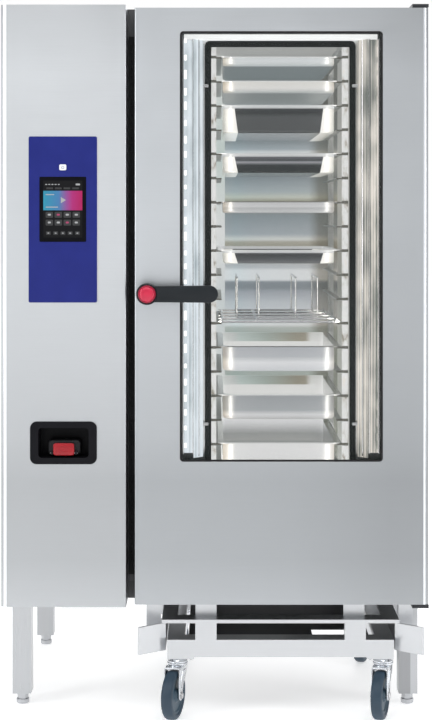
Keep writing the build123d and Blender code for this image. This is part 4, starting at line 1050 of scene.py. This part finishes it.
def caster(end, side, x, y):
    """A swivel fork and its wheel; both stand turned by YAW."""
    home = Matrix.Translation((x, y, 0)) @ Matrix.Rotation(YAW, 4, "Z")
    fork = Build(f"swivel_fork_{end}_{side}", f"caster_fork_{end}_{side}", FORK, SPINDLE)
    race = [(8.2, 134), (25, 134), (27, 136.5), (27, 139.5), (25.4, 141), (26, 142), (26, 144.6), (23, 147)]
    race += [(21.5, 151.4), (8.2, 151.8)]
    fork.lathe(race, home, 0, 48, True)
    crown = [(-22, -30), (-19, -43), (19, -43), (22, -30), (22, 10), (17, 20), (-17, 20), (-22, 10)]
    fork.slab(crown, 2, 129.6, 134.4, 1.4, 0, home)
    cheek = []
    for i in range(11):
        angle = math.radians(200 + 160 * i / 10)
        cheek.append((-TRAIL + 13 * math.cos(angle), WHEEL_R + 13 * math.sin(angle)))
    cheek += [(-TRAIL + 22, 88), (8, 112), (20, 131), (-43, 131), (-TRAIL - 15, 100)]
    rib = [(-TRAIL + 4, 80), (-12, 104), (0, 124), (-24, 124), (-TRAIL - 6, 98)]
    for s in (-1, 1):
        fork.slab(cheek, 0, s * 18, s * 22, 1.2, 0, home, 2)
        fork.slab(rib, 0, s * 21.6, s * 23.4, 0.8, 0, home, 2)
        fork.slab(polygon(-TRAIL, WHEEL_R, 8, 6), 0, s * 22.4, s * 26.6, 0.9, 1, home)
        low, high = sorted((-s * 0.2, s * 0.8))
        washer = ((0, low), (10, low), (10, high), (0, high))
        fork.lathe(washer, home @ facing("x", s * 22, -TRAIL, WHEEL_R), 1, 32)
    axle = home @ facing("x", 0, -TRAIL, WHEEL_R)
    fork.lathe(((0, -22), (4.9, -22), (4.9, 22), (0, 22)), axle, 1, 24)
    fork.done(f"caster_fork_{end}_{side}", slot="caster_zinc")
    wheel = Build(f"wheel_{end}_{side}", f"caster_wheel_{end}_{side}", TYRE, HUB, SPINDLE)
    half_tread = [(WHEEL_R, 0), (62.45, 5), (61.9, 9), (60.4, 12), (57.6, 14.2), (54, 15), (50, 14.8)]
    half_tread += [(48.5, 13.6), (46, 12.6)]
    tread = half_tread[::-1] + [(r, -h) for r, h in half_tread[1:]]
    wheel.lathe(tread, axle, 0, 72, True)
    half_hub = [(45.9, 12), (43, 12.4), (41, 11.2), (39, 9), (22, 8.2), (18, 9.6), (15, 14.6), (13, 15.8)]
    half_hub += [(8.4, 15.8), (7.6, 14.6), (5.3, 14.6)]
    hub = half_hub + [(r, -h) for r, h in reversed(half_hub)]
    wheel.lathe(hub, axle, 1, 60, True)
    wheel.done(f"caster_wheel_{end}_{side}", slot="wheel_grey")


for end, y in (("front", CASTER_FRONT), ("rear", CASTER_REAR)):
    for side, sign in (("left", -1), ("right", 1)):
        caster(end, side, XC + sign * CASTER_X, y)

# -------- insulation and screws


def wool_jacket():
    """The chamber's mineral wool, cut finely and roughened inwards, so that it keeps clear of its sheets."""
    cut, depth = 0.045, 0.0022
    source = NODES["insulation"].data
    body = bmesh.new()
    body.from_mesh(source)
    bmesh.ops.remove_doubles(body, verts=body.verts[:], dist=1e-6)
    low, high = (Vector(c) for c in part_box("insulation"))
    for axis in range(3):
        normal = Vector((axis == 0, axis == 1, axis == 2))
        count = int((high[axis] - low[axis]) / cut)
        for i in range(1, count):
            spot = normal * (low[axis] + (high[axis] - low[axis]) * i / count)
            everything = body.verts[:] + body.edges[:] + body.faces[:]
            bmesh.ops.bisect_plane(body, geom=everything, plane_co=spot, plane_no=normal)
    body.normal_update()
    moves = []
    for vert in body.verts:
        rough = 0.5 + 0.5 * noise.noise(vert.co * 28) + 0.25 * noise.noise(vert.co * 90)
        moves.append(vert.co - vert.normal * depth * max(0.05, rough))
    for vert, place in zip(body.verts, moves):
        vert.co = place
    data = bpy.data.meshes.new("wool_jacket")
    body.to_mesh(data)
    body.free()
    data.materials.append(WOOL)
    jacket = bpy.data.objects.new("wool_jacket", data)
    bpy.context.collection.objects.link(jacket)
    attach(jacket, "cabinet")
    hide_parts("insulation")


wool_jacket()

screws = Build("casing_screws", "cabinet", SPINDLE, TRIM)
for x in (-525, -262, 0, 262, 525):
    for z in (345, 840, 1330, 1820):
        place = facing("y", x, REAR, z) @ Matrix.Rotation(math.pi, 4, "X")
        screws.lathe(((0, 1.7), (2.4, 1.6), (4.2, 0.9), (4.8, 0)), place, 0, 20)
        screws.box((x - 2.6, REAR + 1.3, z - 0.4), (x + 2.6, REAR + 1.75, z + 0.4), 0, 1)
for x in (XC - CASTER_X, XC + CASTER_X):
    inner = 36 if x < XC else -36
    for y in (CASTER_FRONT, CASTER_REAR):
        for dy in (-21.5, 21.5):
            for dx in (-inner * 0.6, inner):
                screws.slab(polygon(x + dx, y + dy, 4.2, 6), 2, 149.6, 153.1, 0.6)
screws.done(slot="casing_steel")

# -------- floor


def make_floor():
    bpy.ops.mesh.primitive_plane_add(size=60, location=(0, 0, -0.0006))
    floor = bpy.context.object
    floor.name = "floor"
    shader = Shader("floor_pale", (0.84, 0.84, 0.84), 0.0, 0.55)
    shader.vary_colour(shader.noise((0.7, 0.7, 0.7), 3.0), (0.90, 0.90, 0.90), (0.93, 0.93, 0.93))
    shader.bsdf.inputs["Emission Color"].default_value = (1, 1, 1, 1)
    shader.bsdf.inputs["Emission Strength"].default_value = 0.53
    floor.data.materials.append(shader.material)


make_floor()
